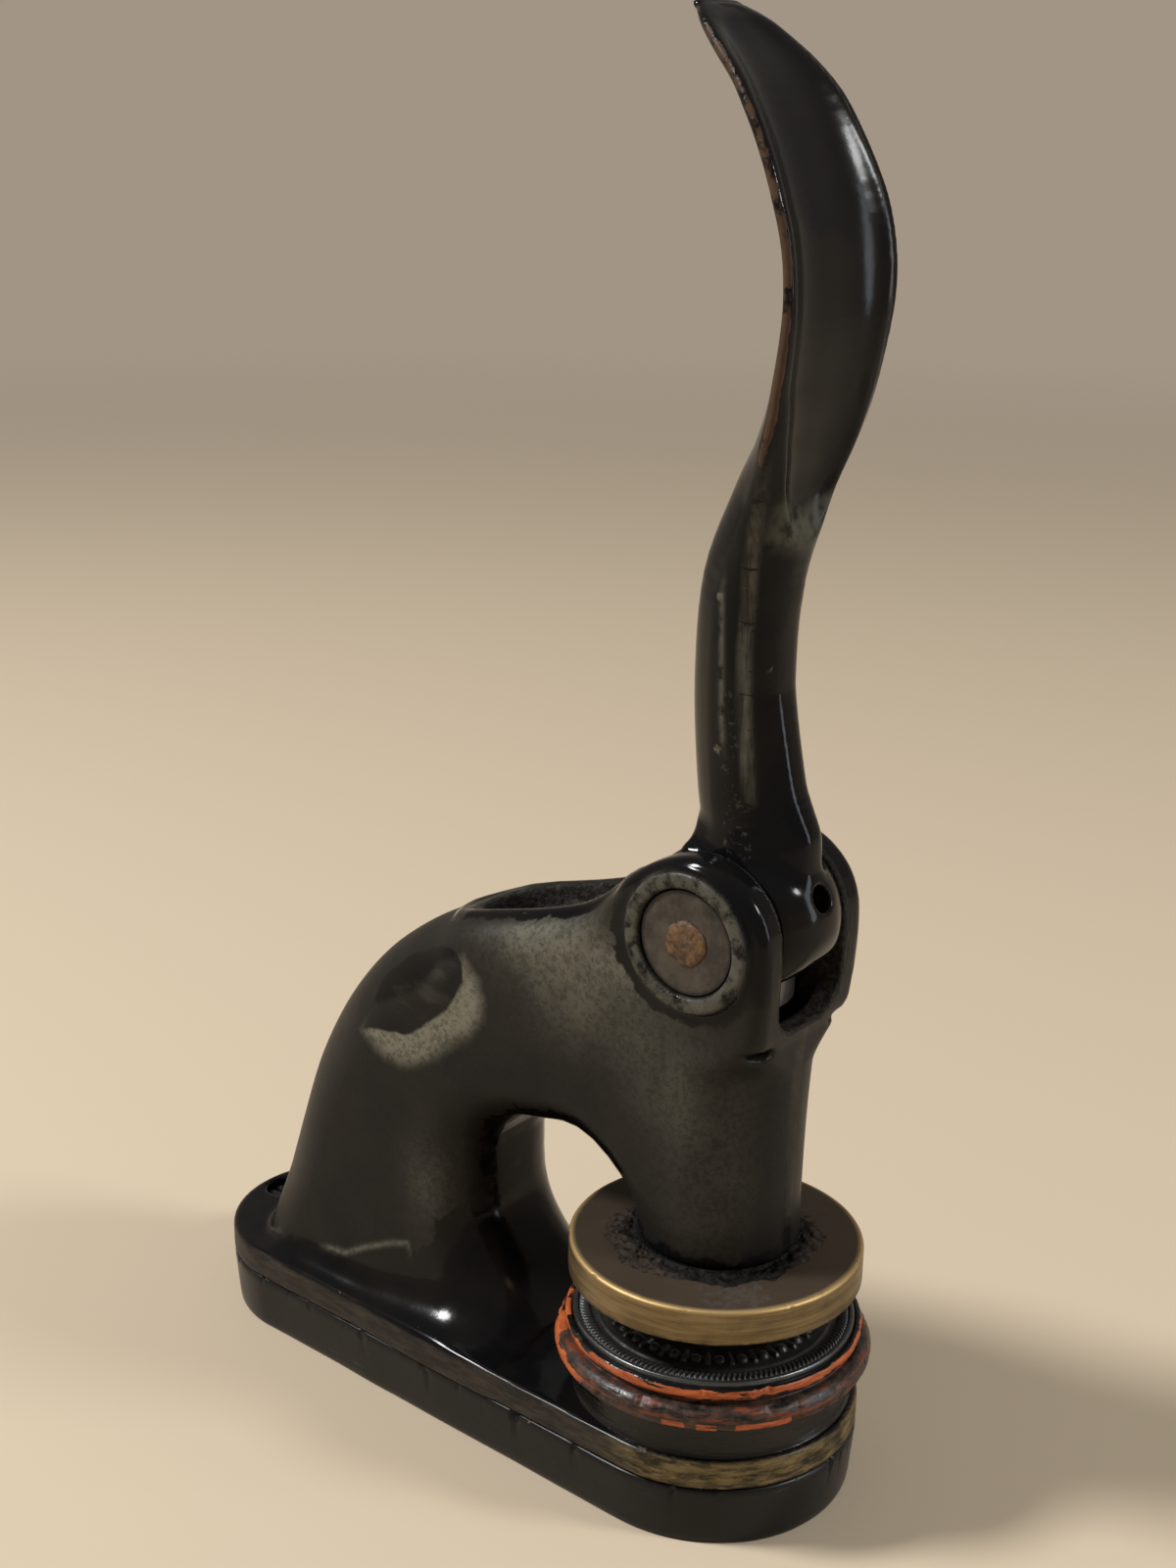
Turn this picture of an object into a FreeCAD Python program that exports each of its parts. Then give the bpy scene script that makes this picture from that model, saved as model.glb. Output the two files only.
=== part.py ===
import FreeCAD, Part
import math
import os

from FreeCAD import Vector

# Seal embosser: a cast-iron desk press, in millimetres. The Z axis is the ram's axis, and z = 0 is the
# underside of the plinth. The dies and the lever's blade are at the front, which is -Y. The press is
# symmetric about X = 0. The lever hangs on a pin across the head, parallel to X.

# Foot: a tapered stadium, with its front arc round the ram's axis.
FOOT_CENTRES = 79.0  # front arc's centre to rear arc's centre
FOOT_FRONT_RADIUS = 22.5
FOOT_REAR_RADIUS = 19.0
PLINTH_DRAFT = 0.8  # how much smaller the plinth is at the table than at the flange
PLINTH_HEIGHT = 9.7
FLANGE_THICKNESS = 4.9

# Die bed: a turned drum on the flange, with a plain step, a half-round bead and a collar.
STEP_RADIUS = 21.0
STEP_HEIGHT = 5.6
BEAD_PROUD = 3.2  # beyond the step
BEAD_HEIGHT = 4.0
COLLAR_WALL = 1.0  # round the lower die
COLLAR_HEIGHT = 2.5

# Dies. The lower one has its design in relief, and the upper one is sunk to match.
LOWER_DIE_RADIUS = 21.5
LOWER_DIE_SEAT = 3.2  # depth let into the bed
LOWER_DIE_PROUD = 0.7
RIM_WIDTH = 0.8
FIELD_DEPTH = 0.5  # below the rim
RELIEF_PROUD = 0.3  # of the design, above the rim
ROPE_WIDTH = 1.7
STAR_POINTS = 8
STAR_OUTER = 9.5
STAR_INNER = 4.2
PEARL_COUNT = 28
PEARL_RING = 14.5
PEARL_RADIUS = 0.8
DIE_GAP = 6.5  # between the two rims at rest
PAPER_GAP = 0.4  # between the two rims at the bottom of the stroke
UPPER_DIE_RADIUS = 22.25
UPPER_DIE_THICKNESS = 5.5
UPPER_DIE_SUNK = 0.5
UPPER_DIE_CHAMFER = 0.4
BUFFER_RADIUS = 13.6
BUFFER_THICKNESS = 0.8

# Ram and what it carries.
RAM_RADIUS = 5.0
RAM_NECK_RADIUS = 4.0
TAPPET_RADIUS = 10.0
TAPPET_THICKNESS = 4.0
TAPPET_HUB_LENGTH = 6.0
TAPPET_PIN_RADIUS = 0.9
SHANK_RADIUS = 2.5
SHANK_LENGTH = 14.0
SHANK_IN_DIE = 4.0
DOWEL_RADIUS = 0.8
DOWEL_DEPTH = 2.0  # into each of the two parts it joins
WIRE_RADIUS = 0.7
SPRING_COILS = 8
SEAT_THICKNESS = 1.0

# Barrel and head.
BARREL_WIDTH = 24.0  # at its lower end
BARREL_SETBACK = -0.5  # of the cast barrel's middle from the ram's axis
HEAD_WIDTH = 26.0
HEAD_FRONT = 12.0  # in front of the pivot, and the cheeks' radius
GUIDE_LENGTH = 10.0  # of the ram's bore in the barrel's end
BARREL_END_TO_PIVOT = 51.1
HEAD_POWER = 8.0  # squareness of the head's outlines: 2 is an ellipse
PIVOT_FORWARD = 2.2  # of the ram's axis
SLOT_WIDTH = 15.8
SLOT_LIP = 13.4  # front end of the slot, below the pivot
WELL_GAP = 1.6  # between the slot's floor and the tappet, at the bottom of the stroke
BOSS_RADIUS = 10.0
BOSS_PROUD = 1.2
PIN_RADIUS = 3.1
PIN_RIVET = 0.5  # of each end, beyond its washer
WASHER_RADIUS = 7.6
WASHER_THICKNESS = 1.2
WASHER_SUNK = 2.0  # the recess in the boss

# Arch: the throat is a half circle behind the barrel, and the casting is wrapped round it.
THROAT_RADIUS = 12.4
THROAT_TOP = 12.6  # above the barrel's end
THROAT_BACK = 0.7  # behind the barrel
BODY_POWER = 2.5  # roundness of the casting's back in its outlines: 2 is an ellipse
RIM_POWER = 4.6  # of the hump, beside the pocket
THROAT_POWER = 3.0  # of the side towards the throat
COLUMN_WIDTH = 28.0
SPREAD = 3.5  # of the column's foot on each side
SPREAD_FRONT = 8.0  # and towards the die bed
COLUMN_DEPTH = 44.0  # at the throat's centre
COLUMN_LEAN = 8.4  # of the back, from there to the foot
HUMP_DEPTH = 35.0  # over the throat
SADDLE_DEPTH = 44.1  # where the hump runs up to the head
SADDLE_WIDTH = 25.2  # at the head
WEB_WIDTH = 17.0  # between the arch and the barrel, over the throat's front
WEB_HEIGHT = 14.0
WEB_INSET = 1.8  # of the web's underside from the throat's half circle
POCKET_WIDTH = 13.0
POCKET_BACK = 44.0  # behind the ram's axis
POCKET_FLOOR = 14.0  # of iron over the throat

# Lever.
LEVER_SWING = 65.0  # degrees, from upright
HUB_BALL = 16.2  # radius of the ball that rounds the hub
HUB_TOP = 14.0  # above the pivot, where the stem takes over
CAM_BASE = 7.6  # from the pivot down to the cam's face, upright
HEEL_BACK = 13.0  # behind the pivot
HEEL_UP = 4.6  # above the pivot
HEEL_THICKNESS = 3.5
STEM_HEIGHT = 68.6  # from the pivot up to where the blade begins
STEM_WIDTH = 14.2
STEM_DEPTH = 14.4
STEM_BOW = 0.5  # of the stem's middle, behind the pivot
BLADE_HEIGHT = 54.0
BLADE_WIDTH = 25.6
BLADE_THICKNESS = 3.0
BLADE_DISH = 2.8  # in the blade's front
BLADE_FORWARD = 12.2  # of the blade's middle, in front of the pivot
TIP_BACK = 8.6  # of the blade's tip, behind the pivot
SET_SCREW_RADIUS = 1.9
SET_SCREW_LENGTH = 7.5
SET_SCREW_ANGLE = 24.0  # above the front, about the pivot

# Screws in the foot.
SCREW_RADIUS = 1.8
SCREW_HEAD_RADIUS = 3.2
SCREW_HEAD_HEIGHT = 1.8
REAR_SCREW_SETBACK = 14.3  # behind the rear arc's centre
REAR_SCREW_SUNK = 1.5
FRONT_SCREW_SETBACK = 26.0
FRONT_SCREW_SPACING = 20.0
BED_SCREW_RADIUS = 2.5
BED_SCREW_HEAD_RADIUS = 4.5
BED_SCREW_HEAD_HEIGHT = 3.0
BED_DOWEL_RING = 12.0
COVER = 1.0  # of material left over a blind hole
SLOT_CUT_WIDTH = 0.8
SLOT_CUT_DEPTH = 0.8

# Fits and gaps.
RUNNING = 0.05  # radial, of the ram and the pin in their bores
RADIAL_GAP = 0.1  # of a disc in its recess
CLEAR = 0.1  # between the cam and the tappet, and between the barrel's end and the buffer
SIDE_GAP = 0.3
HUB_GAP = 0.4  # on each side of the lever's hub, in the slot
TAPPET_GAP = 0.5  # in front of the tappet and behind it
OVER = 1.0  # how far a cut or a root runs past the face that it meets
BEYOND = 60.0  # how far a cut runs that opens a whole side

# Heights, from the bottom up.
FLANGE_TOP = PLINTH_HEIGHT + FLANGE_THICKNESS
STEP_TOP = FLANGE_TOP + STEP_HEIGHT
BEAD_TOP = STEP_TOP + BEAD_HEIGHT
BED_TOP = BEAD_TOP + COLLAR_HEIGHT
LOWER_RIM = BED_TOP + LOWER_DIE_PROUD
LOWER_DIE_BOTTOM = BED_TOP - LOWER_DIE_SEAT
UPPER_FACE = LOWER_RIM + DIE_GAP
UPPER_DIE_TOP = UPPER_FACE + UPPER_DIE_THICKNESS
BARREL_END = UPPER_DIE_TOP + BUFFER_THICKNESS + CLEAR
GUIDE_TOP = BARREL_END + GUIDE_LENGTH
SEAT_TOP = GUIDE_TOP + SEAT_THICKNESS
PIVOT_Z = BARREL_END + BARREL_END_TO_PIVOT
PIVOT_Y = -PIVOT_FORWARD
TAPPET_TOP = PIVOT_Z - CAM_BASE - CLEAR
TAPPET_BOTTOM = TAPPET_TOP - TAPPET_THICKNESS
THROAT_Z = BARREL_END + THROAT_TOP - THROAT_RADIUS

# Motion: the cam's face is an involute, so the ram moves in step with the lever's angle.
RAM_TRAVEL = DIE_GAP - PAPER_GAP
CAM_RISE = RAM_TRAVEL / math.radians(LEVER_SWING)  # mm for each radian
SLOT_FLOOR = TAPPET_BOTTOM - RAM_TRAVEL - WELL_GAP

# Places that follow from the sizes above.
BARREL_BACK = BARREL_WIDTH / 2 + BARREL_SETBACK
THROAT_Y = BARREL_BACK + THROAT_BACK + THROAT_RADIUS
CHEEK_HALF = HEAD_WIDTH / 2
WASHER_IN = CHEEK_HALF + BOSS_PROUD - WASHER_SUNK + RUNNING
HUB_WIDTH = SLOT_WIDTH - 2 * HUB_GAP
SLOT_REACH = TAPPET_RADIUS + TAPPET_GAP  # to the front and back of the ram's axis
TAPPET_FLAT = SLOT_WIDTH / 2 - SIDE_GAP
SPRING_RADIUS = SLOT_WIDTH / 2 - SIDE_GAP - WIRE_RADIUS
TAPPET_HUB_RADIUS = SPRING_RADIUS - WIRE_RADIUS - SIDE_GAP
COLLAR_RADIUS = LOWER_DIE_RADIUS + RADIAL_GAP + COLLAR_WALL

UP = Vector(0, 0, 1)
ALONG_X = Vector(1, 0, 0)


def rod(radius, low, high, x=0.0, y=0.0):
    """An upright cylinder between two heights."""
    return Part.makeCylinder(radius, high - low, Vector(x, y, low), UP)


def cross_rod(radius, low, high, y=PIVOT_Y, z=PIVOT_Z):
    """A cylinder along X, between two values of x."""
    return Part.makeCylinder(radius, high - low, Vector(low, y, z), ALONG_X)


def block(half_width, y0, y1, z0, z1):
    """A box centred on X = 0."""
    return Part.makeBox(2 * half_width, y1 - y0, z1 - z0, Vector(-half_width, y0, z0))


def turned(outline):
    """A solid turned about the ram's axis from (radius, height) points."""
    wire = Part.makePolygon([Vector(r, 0, z) for r, z in outline + outline[:1]])
    return Part.Face(wire).revolve(Vector(0, 0, 0), UP, 360)


def oval(centre, outward, depth, width, outer_power, inner_power=None, dish=0.0, count=32):
    """A closed smooth outline across the press: a superellipse, its depth along the direction outward."""
    inner_power = inner_power or outer_power
    points = []
    for i in range(count):
        angle = 2 * math.pi * i / count
        across = math.cos(angle)
        along = math.sin(angle)
        power = outer_power if along > 0 else inner_power
        size = (abs(across) ** power + abs(along) ** power) ** (-1 / power)
        side = Vector(width / 2 * size * across, 0, 0)
        depth_here = depth / 2 * size * along + dish * (1 - (size * across) ** 2)
        points.append(centre + side + outward * depth_here)
    curve = Part.BSplineCurve()
    curve.interpolate(Points=points, PeriodicFlag=True)
    return Part.Wire(curve.toShape())


def at(angle):
    """The direction at an angle in degrees from +Y towards +Z."""
    return Vector(0, math.cos(math.radians(angle)), math.sin(math.radians(angle)))


def foot_outline(z, inset=0.0):
    """The tapered stadium of the foot."""
    lean = math.asin((FOOT_FRONT_RADIUS - FOOT_REAR_RADIUS) / FOOT_CENTRES)
    front = FOOT_FRONT_RADIUS - inset
    rear = FOOT_REAR_RADIUS - inset
    c = math.cos(lean)
    s = math.sin(lean)
    corners = [
        Vector(front * c, front * s, z),
        Vector(0, -front, z),
        Vector(-front * c, front * s, z),
        Vector(-rear * c, FOOT_CENTRES + rear * s, z),
        Vector(0, FOOT_CENTRES + rear, z),
        Vector(rear * c, FOOT_CENTRES + rear * s, z),
    ]
    edges = [
        Part.Arc(corners[0], corners[1], corners[2]).toShape(),
        Part.LineSegment(corners[2], corners[3]).toShape(),
        Part.Arc(corners[3], corners[4], corners[5]).toShape(),
        Part.LineSegment(corners[5], corners[0]).toShape(),
    ]
    return Part.Wire(edges)


def countersunk_head():
    """The cone of a foot screw's head, with its top at z = 0."""
    low = Vector(0, 0, -SCREW_HEAD_HEIGHT)
    return Part.makeCone(SCREW_RADIUS, SCREW_HEAD_RADIUS, SCREW_HEAD_HEIGHT, low, UP)


def screw(length, tip_cone=0.0):
    """A slotted countersunk foot screw, head up, with the head's top at z = 0."""
    body = countersunk_head().fuse(rod(SCREW_RADIUS, tip_cone - length, -SCREW_HEAD_HEIGHT))
    if tip_cone:
        body = body.fuse(Part.makeCone(SCREW_RADIUS / 4, SCREW_RADIUS, tip_cone, Vector(0, 0, -length), UP))
    slot = block(SLOT_CUT_WIDTH / 2, -SCREW_HEAD_RADIUS, SCREW_HEAD_RADIUS, -SLOT_CUT_DEPTH, OVER)
    return body.cut(slot).removeSplitter()


def placed(shape, x, y, z, flipped=False):
    """A copy of the shape, moved, and turned upside down first if flipped."""
    copy = shape.copy()
    if flipped:
        copy.rotate(Vector(0, 0, 0), ALONG_X, 180)
    copy.translate(Vector(x, y, z))
    return copy


# Foot screws: one from above at the back, two from below behind the die bed.
REAR_SCREW_Y = FOOT_CENTRES + REAR_SCREW_SETBACK
REAR_SCREW_TOP = FLANGE_TOP - REAR_SCREW_SUNK
REAR_SCREW_LENGTH = REAR_SCREW_TOP - COVER
FRONT_SCREW_LENGTH = FLANGE_TOP - COVER - SLOT_CUT_DEPTH
FRONT_SCREW_PLACES = [(side * FRONT_SCREW_SPACING / 2, FRONT_SCREW_SETBACK) for side in (-1, 1)]
BED_SCREW_TIP = BED_TOP - COVER
BED_SCREW_LENGTH = BED_SCREW_TIP - PLINTH_HEIGHT - COVER


def make_rear_screw():
    return placed(screw(REAR_SCREW_LENGTH, 2 * SCREW_RADIUS), 0, REAR_SCREW_Y, REAR_SCREW_TOP)


def make_front_screws():
    one = screw(FRONT_SCREW_LENGTH)
    return Part.Compound([placed(one, x, y, SLOT_CUT_DEPTH, flipped=True) for x, y in FRONT_SCREW_PLACES])


def make_bed_screw():
    head = rod(BED_SCREW_HEAD_RADIUS, -BED_SCREW_HEAD_HEIGHT, 0)
    body = head.fuse(rod(BED_SCREW_RADIUS, -BED_SCREW_LENGTH, 0))
    slot = block(SLOT_CUT_WIDTH / 2, -BED_SCREW_HEAD_RADIUS, BED_SCREW_HEAD_RADIUS, -SLOT_CUT_DEPTH, OVER)
    return placed(body.cut(slot), 0, 0, PLINTH_HEIGHT + COVER, flipped=True)


def screw_hole(x, y, top, length, flipped=False):
    """The hole that a countersunk foot screw fills, with its head's recess open to the outside."""
    recess = rod(SCREW_HEAD_RADIUS, 0, FLANGE_THICKNESS)
    cut = countersunk_head().fuse([rod(SCREW_RADIUS, -length, 0), recess])
    return placed(cut, x, y, top, flipped)


def foot_cuts():
    cuts = [screw_hole(0, REAR_SCREW_Y, REAR_SCREW_TOP, REAR_SCREW_LENGTH)]
    for x, y in FRONT_SCREW_PLACES:
        cuts.append(screw_hole(x, y, SLOT_CUT_DEPTH, FRONT_SCREW_LENGTH, flipped=True))
    return cuts


def make_plinth():
    body = Part.makeLoft([foot_outline(0, PLINTH_DRAFT), foot_outline(PLINTH_HEIGHT)], True, True)
    return body.cut(foot_cuts())


def make_bed():
    """The drum under the lower die, with its bead, as one turned solid down into the flange."""
    bead_middle = STEP_TOP + BEAD_HEIGHT / 2
    drum = rod(STEP_RADIUS, PLINTH_HEIGHT, bead_middle)
    collar = rod(COLLAR_RADIUS, bead_middle, BED_TOP)
    bead_radius = BEAD_HEIGHT / 2
    core = rod(STEP_RADIUS + BEAD_PROUD - bead_radius, STEP_TOP, BEAD_TOP)
    ring = Part.makeTorus(STEP_RADIUS + BEAD_PROUD - bead_radius, bead_radius, Vector(0, 0, bead_middle), UP)
    return drum.fuse([collar, core, ring])


def make_arch():
    """The column and hump, the saddle up to the head, and the web that closes the throat's front."""
    rise = THROAT_Z - FLANGE_TOP
    hump_extra = COLUMN_DEPTH - HUMP_DEPTH
    saddle_extra = SADDLE_DEPTH - HUMP_DEPTH
    saddle_end = 123

    def station(angle, depth, power=BODY_POWER):
        """An outline square to the throat, at an angle from its back."""
        width = COLUMN_WIDTH + (SADDLE_WIDTH - COLUMN_WIDTH) * angle / saddle_end
        middle = Vector(0, THROAT_Y, THROAT_Z) + at(angle) * (THROAT_RADIUS + depth / 2)
        return oval(middle, at(angle), depth, width, power, THROAT_POWER)

    def level(up, forward, lean, spread):
        """A level outline of the column's foot, at a share of the way up to the throat's centre."""
        depth = COLUMN_DEPTH + forward + lean
        middle = Vector(0, THROAT_Y + THROAT_RADIUS - forward + depth / 2, FLANGE_TOP + up * rise)
        return oval(middle, at(0), depth, COLUMN_WIDTH + 2 * spread, BODY_POWER, THROAT_POWER)

    column = [
        level(-OVER / rise, SPREAD_FRONT, COLUMN_LEAN + OVER, SPREAD),
        level(0.14, SPREAD_FRONT / 2, 0.8 * COLUMN_LEAN, SPREAD / 2),
        level(0.5, SPREAD_FRONT / 12, 0.5 * COLUMN_LEAN, SPREAD / 7),
        station(0, COLUMN_DEPTH),
        station(25, HUMP_DEPTH + 0.36 * hump_extra),
        station(50, HUMP_DEPTH),
        station(75, HUMP_DEPTH, RIM_POWER),
        station(90, HUMP_DEPTH + 0.1 * saddle_extra, RIM_POWER),
    ]
    saddle = [
        column[-1],
        station(101, HUMP_DEPTH + 0.5 * saddle_extra, RIM_POWER),
        station(112, SADDLE_DEPTH, RIM_POWER),
        station(saddle_end, HUMP_DEPTH + 0.75 * saddle_extra, RIM_POWER),
    ]
    web_bottom = BARREL_END + GUIDE_LENGTH / 2
    web = block(WEB_WIDTH / 2, 0, THROAT_Y, web_bottom, THROAT_Z + THROAT_RADIUS + WEB_HEIGHT)
    web = web.cut(cross_rod(THROAT_RADIUS + WEB_INSET, -BEYOND, BEYOND, THROAT_Y, THROAT_Z))
    return [Part.makeLoft(column, True), Part.makeLoft(saddle, True), web]


def make_barrel():
    """The barrel and the lower head: level outlines from the barrel's end up to the pivot, lofted."""
    flare = HEAD_WIDTH - BARREL_WIDTH
    front = BARREL_WIDTH / 2 - BARREL_SETBACK
    head_front = PIVOT_FORWARD + HEAD_FRONT
    length = SLOT_FLOOR - BARREL_END
    depth = PIVOT_Z - SLOT_FLOOR

    def level(z, forward, backward, width, power):
        return oval(Vector(0, (backward - forward) / 2, z), at(0), forward + backward, width, power)

    outlines = []
    for up, flared in [(0.0, 0.0), (0.3, 0.1), (0.65, 0.2), (1.0, 0.3)]:
        out = flared * flare
        height = BARREL_END + up * length
        outlines.append(level(height, front + out, BARREL_BACK + out, BARREL_WIDTH + 2 * out, 2.0))
    head_low = SLOT_FLOOR + 0.25 * depth
    head_middle = SLOT_FLOOR + 0.55 * depth
    head_top = PIVOT_Z + 1.5 * flare
    head_back = HEAD_FRONT - PIVOT_FORWARD - OVER
    outlines += [
        level(head_low, head_front - 0.3 * flare, BARREL_BACK + out, HEAD_WIDTH - 0.3 * flare, HEAD_POWER / 2),
        level(head_middle, head_front, BARREL_BACK, HEAD_WIDTH - 0.2 * flare, HEAD_POWER),
        level(head_top, head_front - 0.6 * flare, head_back, HEAD_WIDTH - 0.3 * flare, HEAD_POWER),
    ]
    return Part.makeLoft(outlines, True)


def make_frame():
    flange = Part.Face(foot_outline(PLINTH_HEIGHT)).extrude(Vector(0, 0, FLANGE_THICKNESS))
    cheeks = cross_rod(HEAD_FRONT, -CHEEK_HALF, CHEEK_HALF)
    bosses = cross_rod(BOSS_RADIUS, -CHEEK_HALF - BOSS_PROUD, CHEEK_HALF + BOSS_PROUD)
    body = flange.fuse([make_bed(), make_barrel(), cheeks, bosses] + make_arch())

    slot = block(SLOT_WIDTH / 2, -BEYOND, SLOT_REACH, PIVOT_Z - SLOT_LIP, PIVOT_Z + BEYOND)
    well = block(SLOT_WIDTH / 2, -SLOT_REACH, SLOT_REACH, SLOT_FLOOR, PIVOT_Z)
    chamber = rod(SLOT_WIDTH / 2, GUIDE_TOP, PIVOT_Z)
    guide = rod(RAM_RADIUS + RUNNING, BARREL_END - OVER, GUIDE_TOP + OVER)
    floor = THROAT_Z + THROAT_RADIUS + POCKET_FLOOR
    round_end = POCKET_BACK - POCKET_WIDTH / 2
    pocket = block(POCKET_WIDTH / 2, 0, round_end, floor, PIVOT_Z + BEYOND)
    pocket = pocket.fuse(rod(POCKET_WIDTH / 2, floor, PIVOT_Z + BEYOND, y=round_end))
    bores = [cross_rod(PIN_RADIUS + RUNNING, -BEYOND, BEYOND)]
    for side in (-1, 1):
        ends = sorted([side * (WASHER_IN - RUNNING), side * BEYOND])
        bores.append(cross_rod(WASHER_RADIUS + RADIAL_GAP, ends[0], ends[1]))
    seat = rod(LOWER_DIE_RADIUS + RADIAL_GAP, LOWER_DIE_BOTTOM, BED_TOP + OVER)
    bed_screw = rod(BED_SCREW_RADIUS, PLINTH_HEIGHT, LOWER_DIE_BOTTOM + OVER)
    bed_head_top = PLINTH_HEIGHT + COVER + BED_SCREW_HEAD_HEIGHT
    bed_screw_head = rod(BED_SCREW_HEAD_RADIUS, PLINTH_HEIGHT - OVER, bed_head_top)
    dowel = rod(DOWEL_RADIUS, LOWER_DIE_BOTTOM - DOWEL_DEPTH, LOWER_DIE_BOTTOM + OVER, y=BED_DOWEL_RING)
    cuts = [slot, well, chamber, guide, pocket, seat, bed_screw, bed_screw_head, dowel]
    return body.cut(cuts + bores + foot_cuts()).removeSplitter()


def star(outer, inner, low, high):
    points = []
    for i in range(2 * STAR_POINTS):
        radius = inner if i % 2 else outer
        angle = math.pi * i / STAR_POINTS
        points.append(Vector(radius * math.sin(angle), radius * math.cos(angle), low))
    return Part.Face(Part.makePolygon(points + points[:1])).extrude(Vector(0, 0, high - low))


def make_lower_die():
    """A disc with a raised rim, and a rope ring, pearls and a star standing up from its field."""
    field = LOWER_RIM - FIELD_DEPTH
    relief = LOWER_RIM + RELIEF_PROUD
    disc = rod(LOWER_DIE_RADIUS, LOWER_DIE_BOTTOM, LOWER_RIM)
    field_radius = LOWER_DIE_RADIUS - RIM_WIDTH
    disc = disc.cut(rod(field_radius, field, relief))
    rope_outer = field_radius - RADIAL_GAP
    rope = rod(rope_outer, field - FIELD_DEPTH, relief)
    rope = rope.cut(rod(rope_outer - ROPE_WIDTH, field - OVER, relief + OVER))
    design = [rope, star(STAR_OUTER, STAR_INNER, field - FIELD_DEPTH, relief)]
    for i in range(PEARL_COUNT):
        angle = 2 * math.pi * i / PEARL_COUNT
        x = PEARL_RING * math.sin(angle)
        y = PEARL_RING * math.cos(angle)
        design.append(rod(PEARL_RADIUS, field - FIELD_DEPTH, relief, x, y))
    holes = [rod(BED_SCREW_RADIUS, LOWER_DIE_BOTTOM - OVER, BED_SCREW_TIP)]
    holes.append(rod(DOWEL_RADIUS, LOWER_DIE_BOTTOM - OVER, LOWER_DIE_BOTTOM + DOWEL_DEPTH, y=BED_DOWEL_RING))
    return disc.fuse(design).cut(holes).removeSplitter()


def make_lower_die_pin():
    return rod(DOWEL_RADIUS, LOWER_DIE_BOTTOM - DOWEL_DEPTH, LOWER_DIE_BOTTOM + DOWEL_DEPTH, y=BED_DOWEL_RING)


SHANK_LOW = UPPER_DIE_TOP - SHANK_IN_DIE
RAM_DOWEL_Y = (SHANK_RADIUS + RAM_RADIUS) / 2


def make_upper_die_pin():
    return rod(DOWEL_RADIUS, UPPER_DIE_TOP - DOWEL_DEPTH, UPPER_DIE_TOP + DOWEL_DEPTH, y=RAM_DOWEL_Y)


def make_die_shank():
    return rod(SHANK_RADIUS, SHANK_LOW, SHANK_LOW + SHANK_LENGTH)


def make_upper_die():
    edge = UPPER_DIE_RADIUS - UPPER_DIE_CHAMFER
    disc = turned([
        (0, UPPER_FACE),
        (edge, UPPER_FACE),
        (UPPER_DIE_RADIUS, UPPER_FACE + UPPER_DIE_CHAMFER),
        (UPPER_DIE_RADIUS, UPPER_DIE_TOP - UPPER_DIE_CHAMFER),
        (edge, UPPER_DIE_TOP),
        (0, UPPER_DIE_TOP),
    ])
    sunk = rod(LOWER_DIE_RADIUS - RIM_WIDTH, UPPER_FACE - OVER, UPPER_FACE + UPPER_DIE_SUNK)
    return disc.cut([sunk, make_die_shank(), make_upper_die_pin()])


def make_buffer():
    ring = rod(BUFFER_RADIUS, UPPER_DIE_TOP, UPPER_DIE_TOP + BUFFER_THICKNESS)
    return ring.cut(rod(RAM_RADIUS + RADIAL_GAP, UPPER_DIE_TOP - OVER, BARREL_END))


def make_tappet_pin():
    height = TAPPET_BOTTOM - TAPPET_HUB_LENGTH / 2
    return cross_rod(TAPPET_PIN_RADIUS, -TAPPET_HUB_RADIUS, TAPPET_HUB_RADIUS, 0, height)


def ram_neck():
    return rod(RAM_NECK_RADIUS, TAPPET_BOTTOM - TAPPET_HUB_LENGTH, TAPPET_BOTTOM + TAPPET_THICKNESS / 2)


def make_ram():
    bar = rod(RAM_RADIUS, UPPER_DIE_TOP, TAPPET_BOTTOM - TAPPET_HUB_LENGTH)
    bar = bar.fuse(ram_neck())
    return bar.cut([make_die_shank(), make_upper_die_pin(), make_tappet_pin()])


def make_tappet():
    """A flat head with two flats that run between the cheeks, on a hub that takes the ram's neck."""
    head = rod(TAPPET_RADIUS, TAPPET_BOTTOM, TAPPET_TOP)
    head = head.common(block(TAPPET_FLAT, -TAPPET_RADIUS, TAPPET_RADIUS, TAPPET_BOTTOM, TAPPET_TOP))
    head = head.fuse(rod(TAPPET_HUB_RADIUS, TAPPET_BOTTOM - TAPPET_HUB_LENGTH, TAPPET_BOTTOM))
    return head.cut([ram_neck(), make_tappet_pin()]).removeSplitter()


def make_spring_seat():
    ring = rod(SLOT_WIDTH / 2 - RADIAL_GAP, GUIDE_TOP, SEAT_TOP)
    return ring.cut(rod(RAM_RADIUS + SIDE_GAP, GUIDE_TOP - OVER, SEAT_TOP + OVER))


def make_spring():
    """Round wire in a helix between the seat and the tappet."""
    low = SEAT_TOP + WIRE_RADIUS + RADIAL_GAP
    high = TAPPET_BOTTOM - WIRE_RADIUS - RADIAL_GAP
    path = Part.makeHelix((high - low) / SPRING_COILS, high - low, SPRING_RADIUS)
    profile = Part.Wire(Part.makeCircle(WIRE_RADIUS, Vector(SPRING_RADIUS, 0, 0), Vector(0, 1, 0)))
    wire = Part.Wire(path.Edges).makePipeShell([profile], True, True)
    wire.translate(Vector(0, 0, low))
    return wire


def make_pin():
    half = WASHER_IN + WASHER_THICKNESS + PIN_RIVET
    return cross_rod(PIN_RADIUS, -half, half)


def make_washer(side):
    ends = sorted([side * WASHER_IN, side * (WASHER_IN + WASHER_THICKNESS)])
    return cross_rod(WASHER_RADIUS, ends[0], ends[1]).cut(make_pin())


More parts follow.
